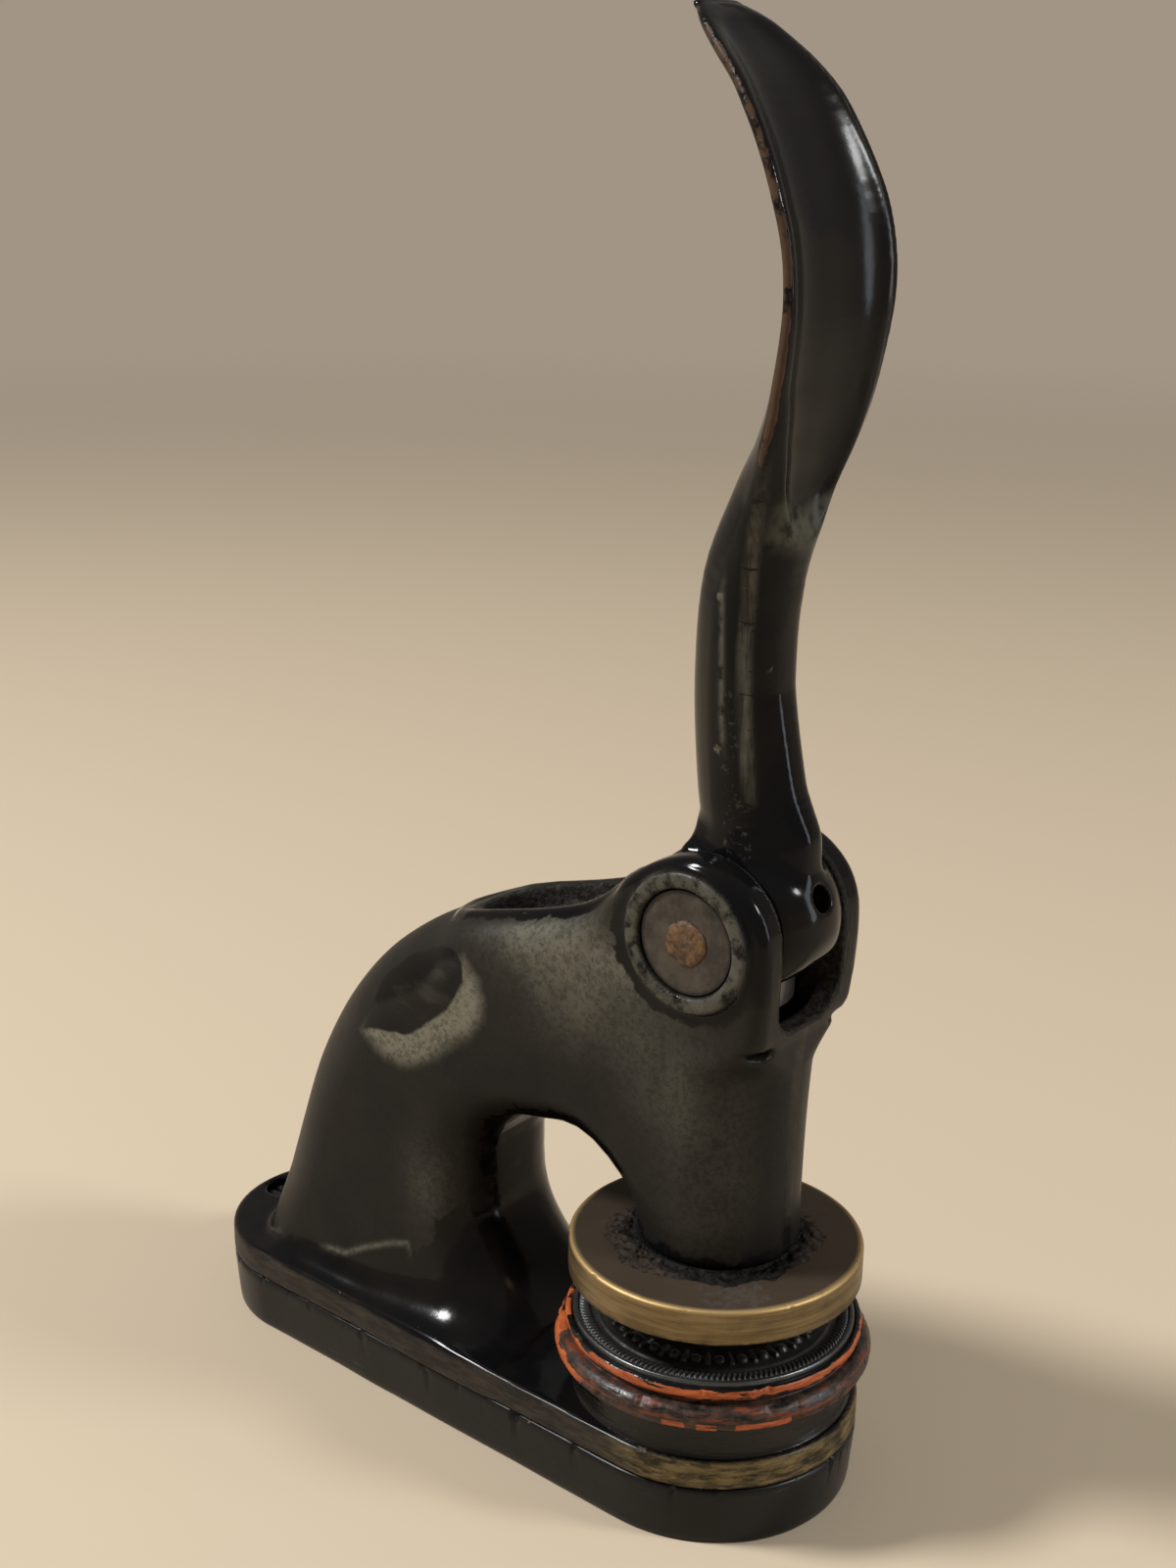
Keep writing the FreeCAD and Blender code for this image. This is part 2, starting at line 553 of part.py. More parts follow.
def cam_point(angle):
    """A point of the cam's face that touches the tappet at this angle of the lever, relative to the pivot."""
    turn = math.radians(angle)
    y = -CAM_RISE
    z = -(CAM_BASE + CAM_RISE * turn)
    return y * math.cos(turn) + z * math.sin(turn), z * math.cos(turn) - y * math.sin(turn)


def from_pivot(y, z, x=0.0):
    return Vector(x, PIVOT_Y + y, PIVOT_Z + z)


def smooth(points):
    curve = Part.BSplineCurve()
    curve.interpolate(points)
    return curve.toShape()


def make_hub():
    """The hub: an involute cam face at the front and below, and a heel at the back."""

    def point(y, z):
        return from_pivot(y, z, -HUB_WIDTH / 2)

    def line(start, end):
        return Part.LineSegment(start, end).toShape()

    steps = 8
    face = [point(*cam_point(LEVER_SWING * i / steps)) for i in range(steps + 1)]
    nose = cam_point(LEVER_SWING)[0]
    front = [
        face[-1],
        point(nose, 0.15 * HUB_TOP),
        point(nose + 0.06 * HUB_TOP, 0.5 * HUB_TOP),
        point(nose + 0.25 * HUB_TOP, HUB_TOP),
    ]
    heel = [
        point(0.5 * HEEL_BACK, HUB_TOP),
        point(0.6 * HEEL_BACK, (HUB_TOP + HEEL_UP + HEEL_THICKNESS) / 2),
        point(0.9 * HEEL_BACK, HEEL_UP + HEEL_THICKNESS),
    ]
    tip = point(HEEL_BACK, HEEL_UP)
    corner = point(CAM_BASE, HEEL_UP)
    side = point(CAM_BASE, 0)
    below = point(0, -CAM_BASE)
    diagonal = CAM_BASE * math.sqrt(0.5)
    edges = [
        smooth(face),
        smooth(front),
        line(front[-1], heel[0]),
        smooth(heel),
        line(heel[-1], tip),
        line(tip, corner),
        line(corner, side),
        Part.Arc(side, point(diagonal, -diagonal), below).toShape(),
        line(below, face[0]),
    ]
    body = Part.Face(Part.Wire(edges)).extrude(Vector(HUB_WIDTH, 0, 0))
    return body.common(Part.makeSphere(HUB_BALL, from_pivot(0, 0)))


def make_stem():
    """The S-shaped stem that flattens into the dished blade: outlines along its line, lofted."""
    neck = HUB_WIDTH - 2 * SIDE_GAP
    line = [  # height above the pivot, setback from the pivot, width, depth, dish
        (0.07 * STEM_HEIGHT, -0.24 * STEM_DEPTH, neck, 1.55 * STEM_DEPTH, 0.0),
        (0.18 * STEM_HEIGHT, -0.1 * STEM_DEPTH, neck, 1.32 * STEM_DEPTH, 0.0),
        (0.29 * STEM_HEIGHT, 0.0, STEM_WIDTH, 1.08 * STEM_DEPTH, 0.0),
        (0.5 * STEM_HEIGHT, STEM_BOW, STEM_WIDTH, STEM_DEPTH, 0.0),
        (0.71 * STEM_HEIGHT, 0.0, 0.96 * STEM_WIDTH, 0.93 * STEM_DEPTH, 0.0),
        (0.88 * STEM_HEIGHT, -0.34 * BLADE_FORWARD, 1.14 * STEM_WIDTH, 0.8 * STEM_DEPTH, 0.3 * BLADE_DISH),
        (STEM_HEIGHT, -0.63 * BLADE_FORWARD, 0.87 * BLADE_WIDTH, 2.3 * BLADE_THICKNESS, 0.8 * BLADE_DISH),
    ]
    for share, setback, width, depth, dish in [
        (0.15, -0.86 * BLADE_FORWARD, 0.97, 1.3, 1.0),
        (0.37, -BLADE_FORWARD, 1.0, 1.0, 1.0),
        (0.57, -0.82 * BLADE_FORWARD, 1.0, 1.0, 1.0),
        (0.8, -0.35 * TIP_BACK, 0.88, 1.0, 0.8),
        (0.94, 0.5 * TIP_BACK, 0.58, 0.9, 0.4),
        (1.0, TIP_BACK, 0.24, 0.6, 0.0),
    ]:
        height = STEM_HEIGHT + share * BLADE_HEIGHT
        line.append((height, setback, width * BLADE_WIDTH, depth * BLADE_THICKNESS, dish * BLADE_DISH))
    outlines = []
    for i, (height, setback, width, depth, dish) in enumerate(line):
        before = line[max(i - 1, 0)]
        after = line[min(i + 1, len(line) - 1)]
        run = from_pivot(after[1], after[0]) - from_pivot(before[1], before[0])
        backward = run.cross(ALONG_X).normalize()
        outlines.append(oval(from_pivot(setback, height), backward, depth, width, 2.0, dish=dish))
    return Part.makeLoft(outlines, True)


def set_screw_rod(radius, low, high):
    direction = at(180 - SET_SCREW_ANGLE)
    return Part.makeCylinder(radius, high - low, from_pivot(0, 0) + direction * low, direction)


def make_set_screw():
    body = set_screw_rod(SET_SCREW_RADIUS, PIN_RADIUS, PIN_RADIUS + SET_SCREW_LENGTH)
    slot = set_screw_rod(SET_SCREW_RADIUS, PIN_RADIUS + SET_SCREW_LENGTH - SLOT_CUT_DEPTH, 2 * HEAD_FRONT)
    slot = slot.common(block(SLOT_CUT_WIDTH / 2, -BEYOND, BEYOND, 0, PIVOT_Z + BEYOND))
    return body.cut([slot, make_pin()])


def make_lever():
    body = make_hub().fuse(make_stem())
    hole = set_screw_rod(SET_SCREW_RADIUS, 0, 2 * HEAD_FRONT)
    return body.cut([make_pin(), hole]).removeSplitter()


PIECES = {
    "plinth": make_plinth(),
    "frame": make_frame(),
    "lower_die": make_lower_die(),
    "lower_die_screw": make_bed_screw(),
    "lower_die_pin": make_lower_die_pin(),
    "rear_plinth_screw": make_rear_screw(),
    "front_plinth_screws": make_front_screws(),
    "spring_seat": make_spring_seat(),
    "return_spring": make_spring(),
    "ram": make_ram(),
    "tappet": make_tappet(),
    "tappet_pin": make_tappet_pin(),
    "die_shank": make_die_shank(),
    "upper_die": make_upper_die(),
    "upper_die_pin": make_upper_die_pin(),
    "buffer_washer": make_buffer(),
    "lever": make_lever(),
    "pivot_pin": make_pin(),
    "pivot_washer_right": make_washer(-1),
    "pivot_washer_left": make_washer(1),
    "hub_set_screw": make_set_screw(),
}

os.makedirs("parts", exist_ok=True)
for name, shape in PIECES.items():
    shape.exportStep("parts/" + name + ".step")
    print(name, len(shape.Solids), round(shape.Volume, 1), shape.isValid())
print("pivot", PIVOT_Y, round(PIVOT_Z, 3), "travel", RAM_TRAVEL, "rise", round(CAM_RISE, 4))
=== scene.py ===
import math

import bmesh
import bpy
import numpy as np
import openvdb
from mathutils import Matrix, Vector


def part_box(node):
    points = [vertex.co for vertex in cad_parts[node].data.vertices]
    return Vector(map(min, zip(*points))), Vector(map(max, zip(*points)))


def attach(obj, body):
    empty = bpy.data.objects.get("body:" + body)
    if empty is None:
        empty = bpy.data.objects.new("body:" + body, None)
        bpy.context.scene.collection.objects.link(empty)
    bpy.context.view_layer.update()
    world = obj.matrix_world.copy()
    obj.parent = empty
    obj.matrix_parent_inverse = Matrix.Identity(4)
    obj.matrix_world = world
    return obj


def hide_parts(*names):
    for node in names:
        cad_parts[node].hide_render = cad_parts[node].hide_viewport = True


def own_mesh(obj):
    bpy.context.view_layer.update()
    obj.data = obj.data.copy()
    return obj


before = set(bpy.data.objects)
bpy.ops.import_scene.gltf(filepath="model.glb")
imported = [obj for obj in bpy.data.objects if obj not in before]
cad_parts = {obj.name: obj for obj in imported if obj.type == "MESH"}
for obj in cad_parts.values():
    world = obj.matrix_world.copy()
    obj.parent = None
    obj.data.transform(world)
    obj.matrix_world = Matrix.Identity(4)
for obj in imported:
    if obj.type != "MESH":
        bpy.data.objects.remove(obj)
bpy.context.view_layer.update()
MM = 0.001


# Camera: a normal lens above the desk, looking down at the press from its front left, with the dies towards
# the right and the lever's blade at the top of the frame.
camera_place = Vector((-0.2405, -0.1621, 0.2058))
camera_forward = Vector((0.7484, 0.5847, -0.3131)).normalized()
camera_roll = math.radians(0.86)
level_right = camera_forward.cross(Vector((0, 0, 1))).normalized()
level_up = level_right.cross(camera_forward)
camera_right = level_right * math.cos(camera_roll) + level_up * math.sin(camera_roll)
camera_up = level_up * math.cos(camera_roll) - level_right * math.sin(camera_roll)
camera = bpy.data.objects.new("camera", bpy.data.cameras.new("camera"))
camera.data.lens = 49.7
camera.data.sensor_width = 36.0
turn = Matrix((camera_right, camera_up, -camera_forward)).transposed()
camera.matrix_world = Matrix.Translation(camera_place) @ turn.to_4x4()
bpy.context.collection.objects.link(camera)
bpy.context.scene.camera = camera


# Plinth: a beech block sawn to the outline of the foot, its edges broken with sandpaper, then brushed with
# black spirit paint. Three screws hold it under the casting. Its profile is (inset, height).
PLINTH_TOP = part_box("plinth")[1][2] / MM
FOOT_CENTRES = 79.0
FOOT_FRONT, FOOT_REAR = 22.5, 19.0
FOOT_LEAN = (FOOT_FRONT - FOOT_REAR) / FOOT_CENTRES
ARC_POINTS, PLINTH_POINTS = 200, 960
PLINTH_PROFILE = [(1.5, 0), (1.05, 0.1), (0.85, 0.5), (0.7, 1.5), (0.45, 4.5), (0.2, 7.5), (0.12, 8.3),
                  (0.1, 8.8), (0.18, 9.25), (0.42, 9.55), (0.8, 9.68), (1.3, 9.7)]
DENTED_HEIGHT = 9.2


def foot_distance(x, y):
    """Distance from the tapered outline of the foot, seen from above, negative inside it."""
    side = math.sqrt(1 - FOOT_LEAN**2)
    rise = y * side - np.abs(x) * FOOT_LEAN
    flat = np.abs(x) * side + y * FOOT_LEAN - FOOT_FRONT
    front = np.hypot(x, y) - FOOT_FRONT
    rear = np.hypot(x, y - FOOT_CENTRES) - FOOT_REAR
    return np.where(rise < 0, front, np.where(rise > side * FOOT_CENTRES, rear, flat))


def foot_outline(count):
    """Points along the foot's outline and the directions outward there."""
    lean = math.asin(FOOT_LEAN)
    front = np.linspace(math.pi - lean, 2 * math.pi + lean, ARC_POINTS)
    rear = np.linspace(lean, math.pi - lean, ARC_POINTS)
    ways = np.array([(math.cos(a), math.sin(a)) for a in [*front, *rear, front[0]]])
    radii = np.array([FOOT_FRONT] * ARC_POINTS + [FOOT_REAR] * ARC_POINTS + [FOOT_FRONT])
    places = ways * radii[:, None]
    places[ARC_POINTS:-1, 1] += FOOT_CENTRES
    run = np.concatenate([[0], np.cumsum(np.hypot(*np.diff(places, axis=0).T))])
    at = np.arange(count) * run[-1] / count
    line = np.array([np.interp(at, run, places[:, i]) for i in (0, 1)]).T
    outward = np.array([np.interp(at, run, ways[:, i]) for i in (0, 1)]).T
    return line, outward / np.linalg.norm(outward, axis=1)[:, None]


def ripple(points, size, seed, octaves=3):
    """Smooth seeded noise between about -1 and 1, with features of a size in millimetres."""
    waves = np.random.default_rng(seed)
    total = np.zeros(len(points))
    for octave in range(octaves):
        for way in waves.normal(size=(9, 3)):
            way *= 2**octave * 5 / (size * np.linalg.norm(way))
            total += np.sin(points @ way + waves.uniform(0, 6.3)) / 2**octave
    return total / 4


def new_piece(name, points, faces):
    """A smooth-shaded mesh object from points in millimetres."""
    mesh = bpy.data.meshes.new(name)
    faces = faces.tolist() if isinstance(faces, np.ndarray) else faces
    mesh.from_pydata((np.asarray(points) * MM).tolist(), [], faces)
    shell = bmesh.new()
    shell.from_mesh(mesh)
    bmesh.ops.recalc_face_normals(shell, faces=shell.faces)
    shell.to_mesh(mesh)
    shell.free()
    mesh.shade_smooth()
    piece = bpy.data.objects.new(name, mesh)
    bpy.context.collection.objects.link(piece)
    return piece


def ring_faces(rings, count, capped=False):
    """Faces between closed rings of points, and over the first and the last ring where they are capped."""
    last = (rings - 1) * count
    faces = []
    for start in range(0, last, count):
        for j in range(count):
            a, b = start + j, start + (j + 1) % count
            faces.append([a, b, b + count, a + count])
    return faces + [list(range(count)), list(range(last, last + count))] if capped else faces


line, outward = foot_outline(PLINTH_POINTS)
rings = []
for inset, height in PLINTH_PROFILE:
    ring = np.column_stack([line - outward * inset, np.full(len(line), height)])
    sag = 0.12 * ripple(ring * (1, 1, 0.3), 18, 40, 2)
    depth = 0.9 * max(0, 1 - abs(height - DENTED_HEIGHT) / 1.6)
    dents = depth * np.maximum(ripple(ring, 2.2, 41, 2) - 0.75, 0)
    ring[:, :2] -= outward * (np.maximum(sag, -0.1) + dents)[:, None]
    rings.append(ring)
faces = ring_faces(len(rings), len(line), capped=True)
plinth = new_piece("painted_plinth", np.concatenate(rings), faces)
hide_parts("plinth")
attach(plinth, "base")


def start_material(name):
    """Starts a material, which the functions below add nodes to until the next one is started."""
    global material, tree, shader
    material = bpy.data.materials.new(name)
    material.use_nodes = True
    tree = material.node_tree
    shader = tree.nodes["Principled BSDF"]


def wire(kind, inputs=(), out=0, **settings):
    """Adds a shader node, with sockets set from numbers, colours or other nodes, and returns its output."""
    node = tree.nodes.new("ShaderNode" + kind)
    for key, value in settings.items():
        setattr(node, key, value)
    for key, value in dict(inputs).items():
        if isinstance(value, bpy.types.NodeSocket):
            tree.links.new(value, node.inputs[key])
        else:
            node.inputs[key].default_value = value
    return node.outputs[out]


def place(stretch=(1, 1, 1)):
    """The place on the piece in millimetres, stretched along its axes."""
    here = wire("TexCoord", out="Object")
    return wire("Mapping", {"Vector": here, "Scale": tuple(s / MM for s in stretch)})


def coordinate(axis):
    return wire("SeparateXYZ", {"Vector": place()}, out=axis)


def grain(size, detail=4.0, stretch=(1, 1, 1), seed=0.0, rough=0.55, at=None):
    """Noise with features of a size in millimetres."""
    at = at or place(stretch)
    inputs = {"Vector": at, "W": seed, "Scale": 1 / size, "Detail": detail, "Roughness": rough}
    return wire("TexNoise", inputs, noise_dimensions="4D")


def step(value, low, high):
    """0 below low, 1 above high, and smooth between."""
    inputs = {"Value": value, "From Min": low, "From Max": high}
    return wire("MapRange", inputs, interpolation_type="SMOOTHSTEP")


def sum_of(a, b, operation="ADD"):
    return wire("Math", {0: a, 1: b}, operation=operation)


def times(a, b):
    return sum_of(a, b, "MULTIPLY")


def most(a, b):
    return sum_of(a, b, "MAXIMUM")


def paint(share, below, above):
    """One colour over another."""
    below, above = (c if isinstance(c, bpy.types.NodeSocket) else (*c, 1) for c in (below, above))
    return wire("Mix", {0: share, 6: below, 7: above}, out=2, data_type="RGBA")


def level(share, below, above):
    return wire("Mix", {0: share, 2: below, 3: above}, data_type="FLOAT")


def bump(height, depth, before=None):
    """Surface relief, depth in millimetres for a height of 1."""
    inputs = {"Height": height, "Distance": depth * MM, "Strength": 1.0}
    if before is not None:
        inputs["Normal"] = before
    return wire("Bump", inputs)


def finish_material(colour, roughness, normal, metallic=None, specular=0.5):
    """Links what was worked out to the shader of the started material, and returns the material."""
    shader.inputs["Specular IOR Level"].default_value = specular
    links = {"Base Color": colour, "Roughness": roughness, "Normal": normal, "Metallic": metallic}
    for socket, value in links.items():
        if value is not None:
            tree.links.new(value, shader.inputs[socket])
    return material


start_material("black_painted_wood")
colour = paint(grain(10, 4), (0.006, 0.006, 0.0065), (0.013, 0.012, 0.0115))
brushed = grain(1.0, 5, (0.05, 0.05, 1.3), 2)
scratch = step(grain(2.4, 6, (0.2, 0.2, 2.2), 3), 0.66, 0.7)
colour = paint(times(scratch, 0.22), colour, (0.11, 0.10, 0.085))
near_edge = step(coordinate("Z"), PLINTH_TOP - 1.5, PLINTH_TOP - 0.2)
chip = step(sum_of(grain(2.6, 7, seed=5, rough=0.65), times(near_edge, 0.07)), 0.70, 0.715)
wood = paint(grain(0.8, 4, seed=6), (0.035, 0.026, 0.02), (0.16, 0.13, 0.1))
colour = paint(chip, colour, wood)
roughness = level(grain(5, 5, seed=7), 0.22, 0.42)
roughness = level(chip, roughness, 0.7)
normal = bump(brushed, 0.015)
normal = bump(grain(4, 3, seed=8), 0.06, normal)
normal = bump(sum_of(chip, scratch), -0.05, normal)
plinth.data.materials.append(finish_material(colour, roughness, normal, specular=0.2))


# Casting: one grey-iron casting makes the arch, the barrel, the head with its two cheeks and the foot
# flange. It is described here as a solid by distances in millimetres, so that every inside corner gets
# the fillet of its pattern and every outside edge its round, and the mesh is drawn round it.
FLANGE_THICKNESS = 4.9
FLANGE_TOP = PLINTH_TOP + FLANGE_THICKNESS
THROAT = (25.8, 41.0)
THROAT_REACH = (13.9, 12.3)
BARREL_END = 40.3
PIVOT = (-2.2, 91.4)
PIVOT_BORE, WASHER_SEAT, SEAT_FLOOR = 3.15, 7.7, 12.15
BOSS_RADIUS, BOSS_HALF = 9.15, 1.35
BEAD_RADIUS = 1.55
SLOT_HALF, SLOT_FLOOR, SLOT_REAR = 7.9, 78.0, 10.5
WELL_FLOOR, WELL_TOP = 72.0, 92
CHAMBER_FLOOR = 50.3
GUIDE_RADIUS, GUIDE_MIDDLE, GUIDE_HALF = 5.05, 45, 8
POCKET_RADIUS, POCKET_LENGTH, POCKET_FLOOR = 6.6, 37.4, 65.5
REAR_SCREW, SCREW_RADIUS, SCREW_FLOOR = 93.3, 3.25, 12.4
PIT_PLACE, PIT_HALF = (9.8, -12.6, 76.1), (2.7, 1.7, 1.0)
CASTING_HALF = 24.18
BACK_LINE = [(88.5, 6), (88.2, 14.6), (86.8, 22), (84.4, 30), (80.9, 39.8), (76.6, 50.8), (70.5, 61.6),
             (63.2, 70.4), (54.9, 76.9)]
RIM_LINE = [(48, 80.6), (43.2, 82.6), (34.5, 85), (26.6, 87.3), (18.9, 90.2), (13.4, 93.9), (9.4, 98)]
HEAD_LINE = [(4.6, 101.3), (0, 103.1), (-4.2, 103.4), (-8.8, 101.9), (-12.5, 98.8), (-14.5, 94.8),
             (-15.0, 90), (-14.8, 84), (-14.2, 78.5)]
BARREL_LINE = [(-13.4, 75.6), (-13, 70), (-12.6, 60), (-12.5, 45), (-12.5, 20)]
COLUMN_FRONT = [(39.6, 36), (39.3, 32.5), (38.4, 29.8), (36.8, 27), (34.4, 23.3), (31.6, 19.5), (28.5, 16),
                (26, 13), (24, 6)]


def ease(value, low, high):
    """0 below low, 1 above high, and a smooth step between."""
    t = np.clip((value - low) / (high - low), 0, 1)
    return t * t * (3 - 2 * t)


def mix(a, b, share):
    return a + (b - a) * share


def meet(a, b, radius):
    """The distance to what two solids share, with the edge between them rounded."""
    outside = np.hypot(np.maximum(a + radius, 0), np.maximum(b + radius, 0))
    return outside + np.minimum(np.maximum(a, b) + radius, 0) - radius


def join(a, b, radius):
    """The distance to two solids as one, with a fillet between them."""
    return -meet(-a, -b, radius)


def cut(a, b, radius):
    return meet(a, -b, radius)


def least(*distances):
    return np.minimum.reduce(np.broadcast_arrays(*distances))


def through(points, steps=5):
    """Points along a smooth line through the given ones."""
    p = np.array([points[0], *points, points[-1]], float)
    line = []
    for i in range(1, len(p) - 2):
        a, b, c, d = p[i - 1:i + 3]
        for t in np.arange(steps) / steps:
            curve = 2 * b + (c - a) * t + (2 * a - 5 * b + 4 * c - d) * t**2
            line.append(0.5 * (curve + (3 * b - a - 3 * c + d) * t**3))
    return line + [p[-1]]


def outline_distance(outline, y, z):
    """Distance from a closed outline, negative inside it."""
    near = np.full(np.broadcast(y, z).shape, 1e6)
    inside = np.zeros(near.shape, bool)
    for (ay, az), (by, bz) in zip(outline, outline[1:] + outline[:1]):
        ey, ez = by - ay, bz - az
        along = np.clip(((y - ay) * ey + (z - az) * ez) / (ey * ey + ez * ez + 1e-12), 0, 1)
        near = np.minimum(near, np.hypot(y - ay - along * ey, z - az - along * ez))
        if az != bz:
            inside ^= ((az > z) != (bz > z)) & (y < (by - ay) * (z - az) / (bz - az) + ay)
    return np.where(inside, -near, near)


def capsule_distance(x, y, z, points, radius):
    """Distance from a round rod that follows a line of points."""
    near = np.full(np.broadcast(x, y, z).shape, 1e6)
    for a, b in zip(points, points[1:]):
        a, b = np.array(a, float), np.array(b, float)
        e = b - a
        along = np.clip(((x - a[0]) * e[0] + (y - a[1]) * e[1] + (z - a[2]) * e[2]) / (e @ e), 0, 1)
        away = (x - a[0] - along * e[0], y - a[1] - along * e[1], z - a[2] - along * e[2])
        near = np.minimum(near, np.sqrt(away[0]**2 + away[1]**2 + away[2]**2))
    return near - radius


def pivot_distance(y, z):
    return np.hypot(y - PIVOT[0], z - PIVOT[1])


THROAT_ARC = []
for degrees in range(174, -1, -12):
    angle = math.radians(degrees)
    fuller = 1.9 * math.exp(-((degrees - 80) / 30)**2)
    THROAT_ARC.append((THROAT[0] + (THROAT_REACH[0] - fuller) * math.cos(angle),
                       THROAT[1] + (THROAT_REACH[1] - fuller) * math.sin(angle)))
SIDE_OUTLINE = through(BACK_LINE + RIM_LINE + HEAD_LINE) + through(BARREL_LINE)
SIDE_OUTLINE += [(11.5, 20), (11.6, 38)] + THROAT_ARC + through(COLUMN_FRONT)
RIM_BEAD = [(8.4, 8.5, 97.2)]
RIM_BEAD += [(8.4 - 0.01 * (y - 10)**1.2, y, z - 1.2) for y, z in through(RIM_LINE[::-1], 3) if 10 < y < 40]
RIM_BEAD += [(7.4, 42, 81.6), (5.6, 45.2, 80.4), (2.6, 47, 79.9), (0, 47.5, 79.8)]


def body_distance(x, y, z):
    """The arch, barrel and head: the side outline, as thick as the casting is there, with rounded edges."""
    side = outline_distance(SIDE_OUTLINE, y, z)
    from_throat = np.where(z > THROAT[1], np.hypot(y - THROAT[0], z - THROAT[1]), y - THROAT[0])
    angle = np.degrees(np.arctan2(np.maximum(z - THROAT[1], 0), y - THROAT[0]))
    arch_half = mix(14.0, 12.6, angle / 123) - 1.2 * np.clip((from_throat - 33) / 22, -1, 1)**2
    arch_half = arch_half + 3.5 * np.clip((27 - z) / 13.4, 0, 1)**1.6
    barrel_half = mix(12.0, 12.9, ease(z, 45, 84))
    half = mix(barrel_half, arch_half, ease(y, 4, 26))
    back_round = mix(12.2, 5.5, ease(angle, 52, 76))
    arch_round = mix(9.0, back_round, ease(from_throat, 18, 36))
    front_round = mix(11.9, 2.6, ease(z, 69, 79))
    rear_round = mix(11.9, 9.0, ease(z, 43, 54))
    barrel_round = mix(front_round, rear_round, ease(y, -3, 4))
    barrel_round = mix(barrel_round, 1.9, ease(z, 76, 92))
    rounding = mix(barrel_round, arch_round, ease(y, 9, 18))
    body = meet(side, np.abs(x) - half, rounding)
    end = np.where(y < 18, BARREL_END - z, -1e3)
    return meet(body, end, 0.5)


def cuts_distance(x, y, z):
    """What is cored in the casting, and what is drilled or turned: the bores, washer seats and screw hole."""
    across = np.abs(x) - SLOT_HALF
    slot = np.maximum(meet(across, SLOT_FLOOR - z, 5.5), y - SLOT_REAR)
    well = -least(-across, SLOT_REAR - np.abs(y), z - WELL_FLOOR, WELL_TOP - z)
    chamber = np.maximum(np.hypot(x, y) - SLOT_HALF, CHAMBER_FLOOR - z)
    along = y - np.clip(y, 0, POCKET_LENGTH)
    pocket = np.maximum(np.hypot(x, along) - POCKET_RADIUS, POCKET_FLOOR - z)
    guide = np.maximum(np.hypot(x, y) - GUIDE_RADIUS, np.abs(z - GUIDE_MIDDLE) - GUIDE_HALF)
    bore = pivot_distance(y, z) - PIVOT_BORE
    seat = np.maximum(pivot_distance(y, z) - WASHER_SEAT, SEAT_FLOOR - np.abs(x))
    screw = np.maximum(np.hypot(x, y - REAR_SCREW) - SCREW_RADIUS, SCREW_FLOOR - z)
    return least(slot, well, chamber, pocket), least(guide, bore, seat, screw)


def casting_distance(x, y, z):
    flange = np.abs(z - (PLINTH_TOP + FLANGE_TOP) / 2) - FLANGE_THICKNESS / 2
    flange = meet(foot_distance(x, y), flange, 0.7)
    rear_fillet = mix(1.2, 4.0, ease(86 - y, 0, 14))
    body = join(body_distance(x, y, z), flange, mix(rear_fillet, 8.0, ease(60 - y, 0, 25)))
    from_pivot = pivot_distance(y, z)
    boss = meet(np.abs(from_pivot - BOSS_RADIUS) - BOSS_HALF, np.abs(np.abs(x) - 13.05) - 1.1, 0.75)
    boss = np.minimum(boss, np.maximum(from_pivot - 9.0, np.abs(x) - 13.2))
    body = join(body, boss, 0.6)
    body = join(body, capsule_distance(np.abs(x), y, z, RIM_BEAD, BEAD_RADIUS), 0.35)
    cored, turned = cuts_distance(x, y, z)
    body = cut(cut(body, cored, 0.5), turned, 0.15)
    off_pit = [(value - middle) / half for value, middle, half in zip((np.abs(x), y, z), PIT_PLACE, PIT_HALF)]
    pit = np.sqrt(off_pit[0]**2 + off_pit[1]**2 + off_pit[2]**2) - 1
    return cut(body, 0.75 * pit, 0.3)


def drawn_round(distance, low, high, step):
    """Points and faces of the surface where a distance is zero, the same on both sides of X = 0."""
    x = np.arange(0, high[0] + step, step).reshape(-1, 1, 1)
    y = np.arange(low[1], high[1] + step, step).reshape(1, -1, 1)
    z = np.arange(low[2], high[2] + step, step).reshape(1, 1, -1)
    half = np.broadcast_to(distance(x, y, z), (x.size, y.size, z.size))
    whole = np.concatenate([half[:0:-1], half]).astype(np.float32)
    grid = openvdb.FloatGrid()
    grid.background = 3.0
    grid.copyFromArray(np.ascontiguousarray(whole))
    points, quads = grid.convertToQuads(0.0)
    return points * step + (-(x.size - 1) * step, low[1], low[2]), quads


points, quads = drawn_round(casting_distance, (0, -26, 8.7), (24.5, 101, 105), 0.5)
points[:, 0] = np.clip(points[:, 0], -CASTING_HALF, CASTING_HALF)
casting = new_piece("casting", points, quads)
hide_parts("frame")
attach(casting, "base")

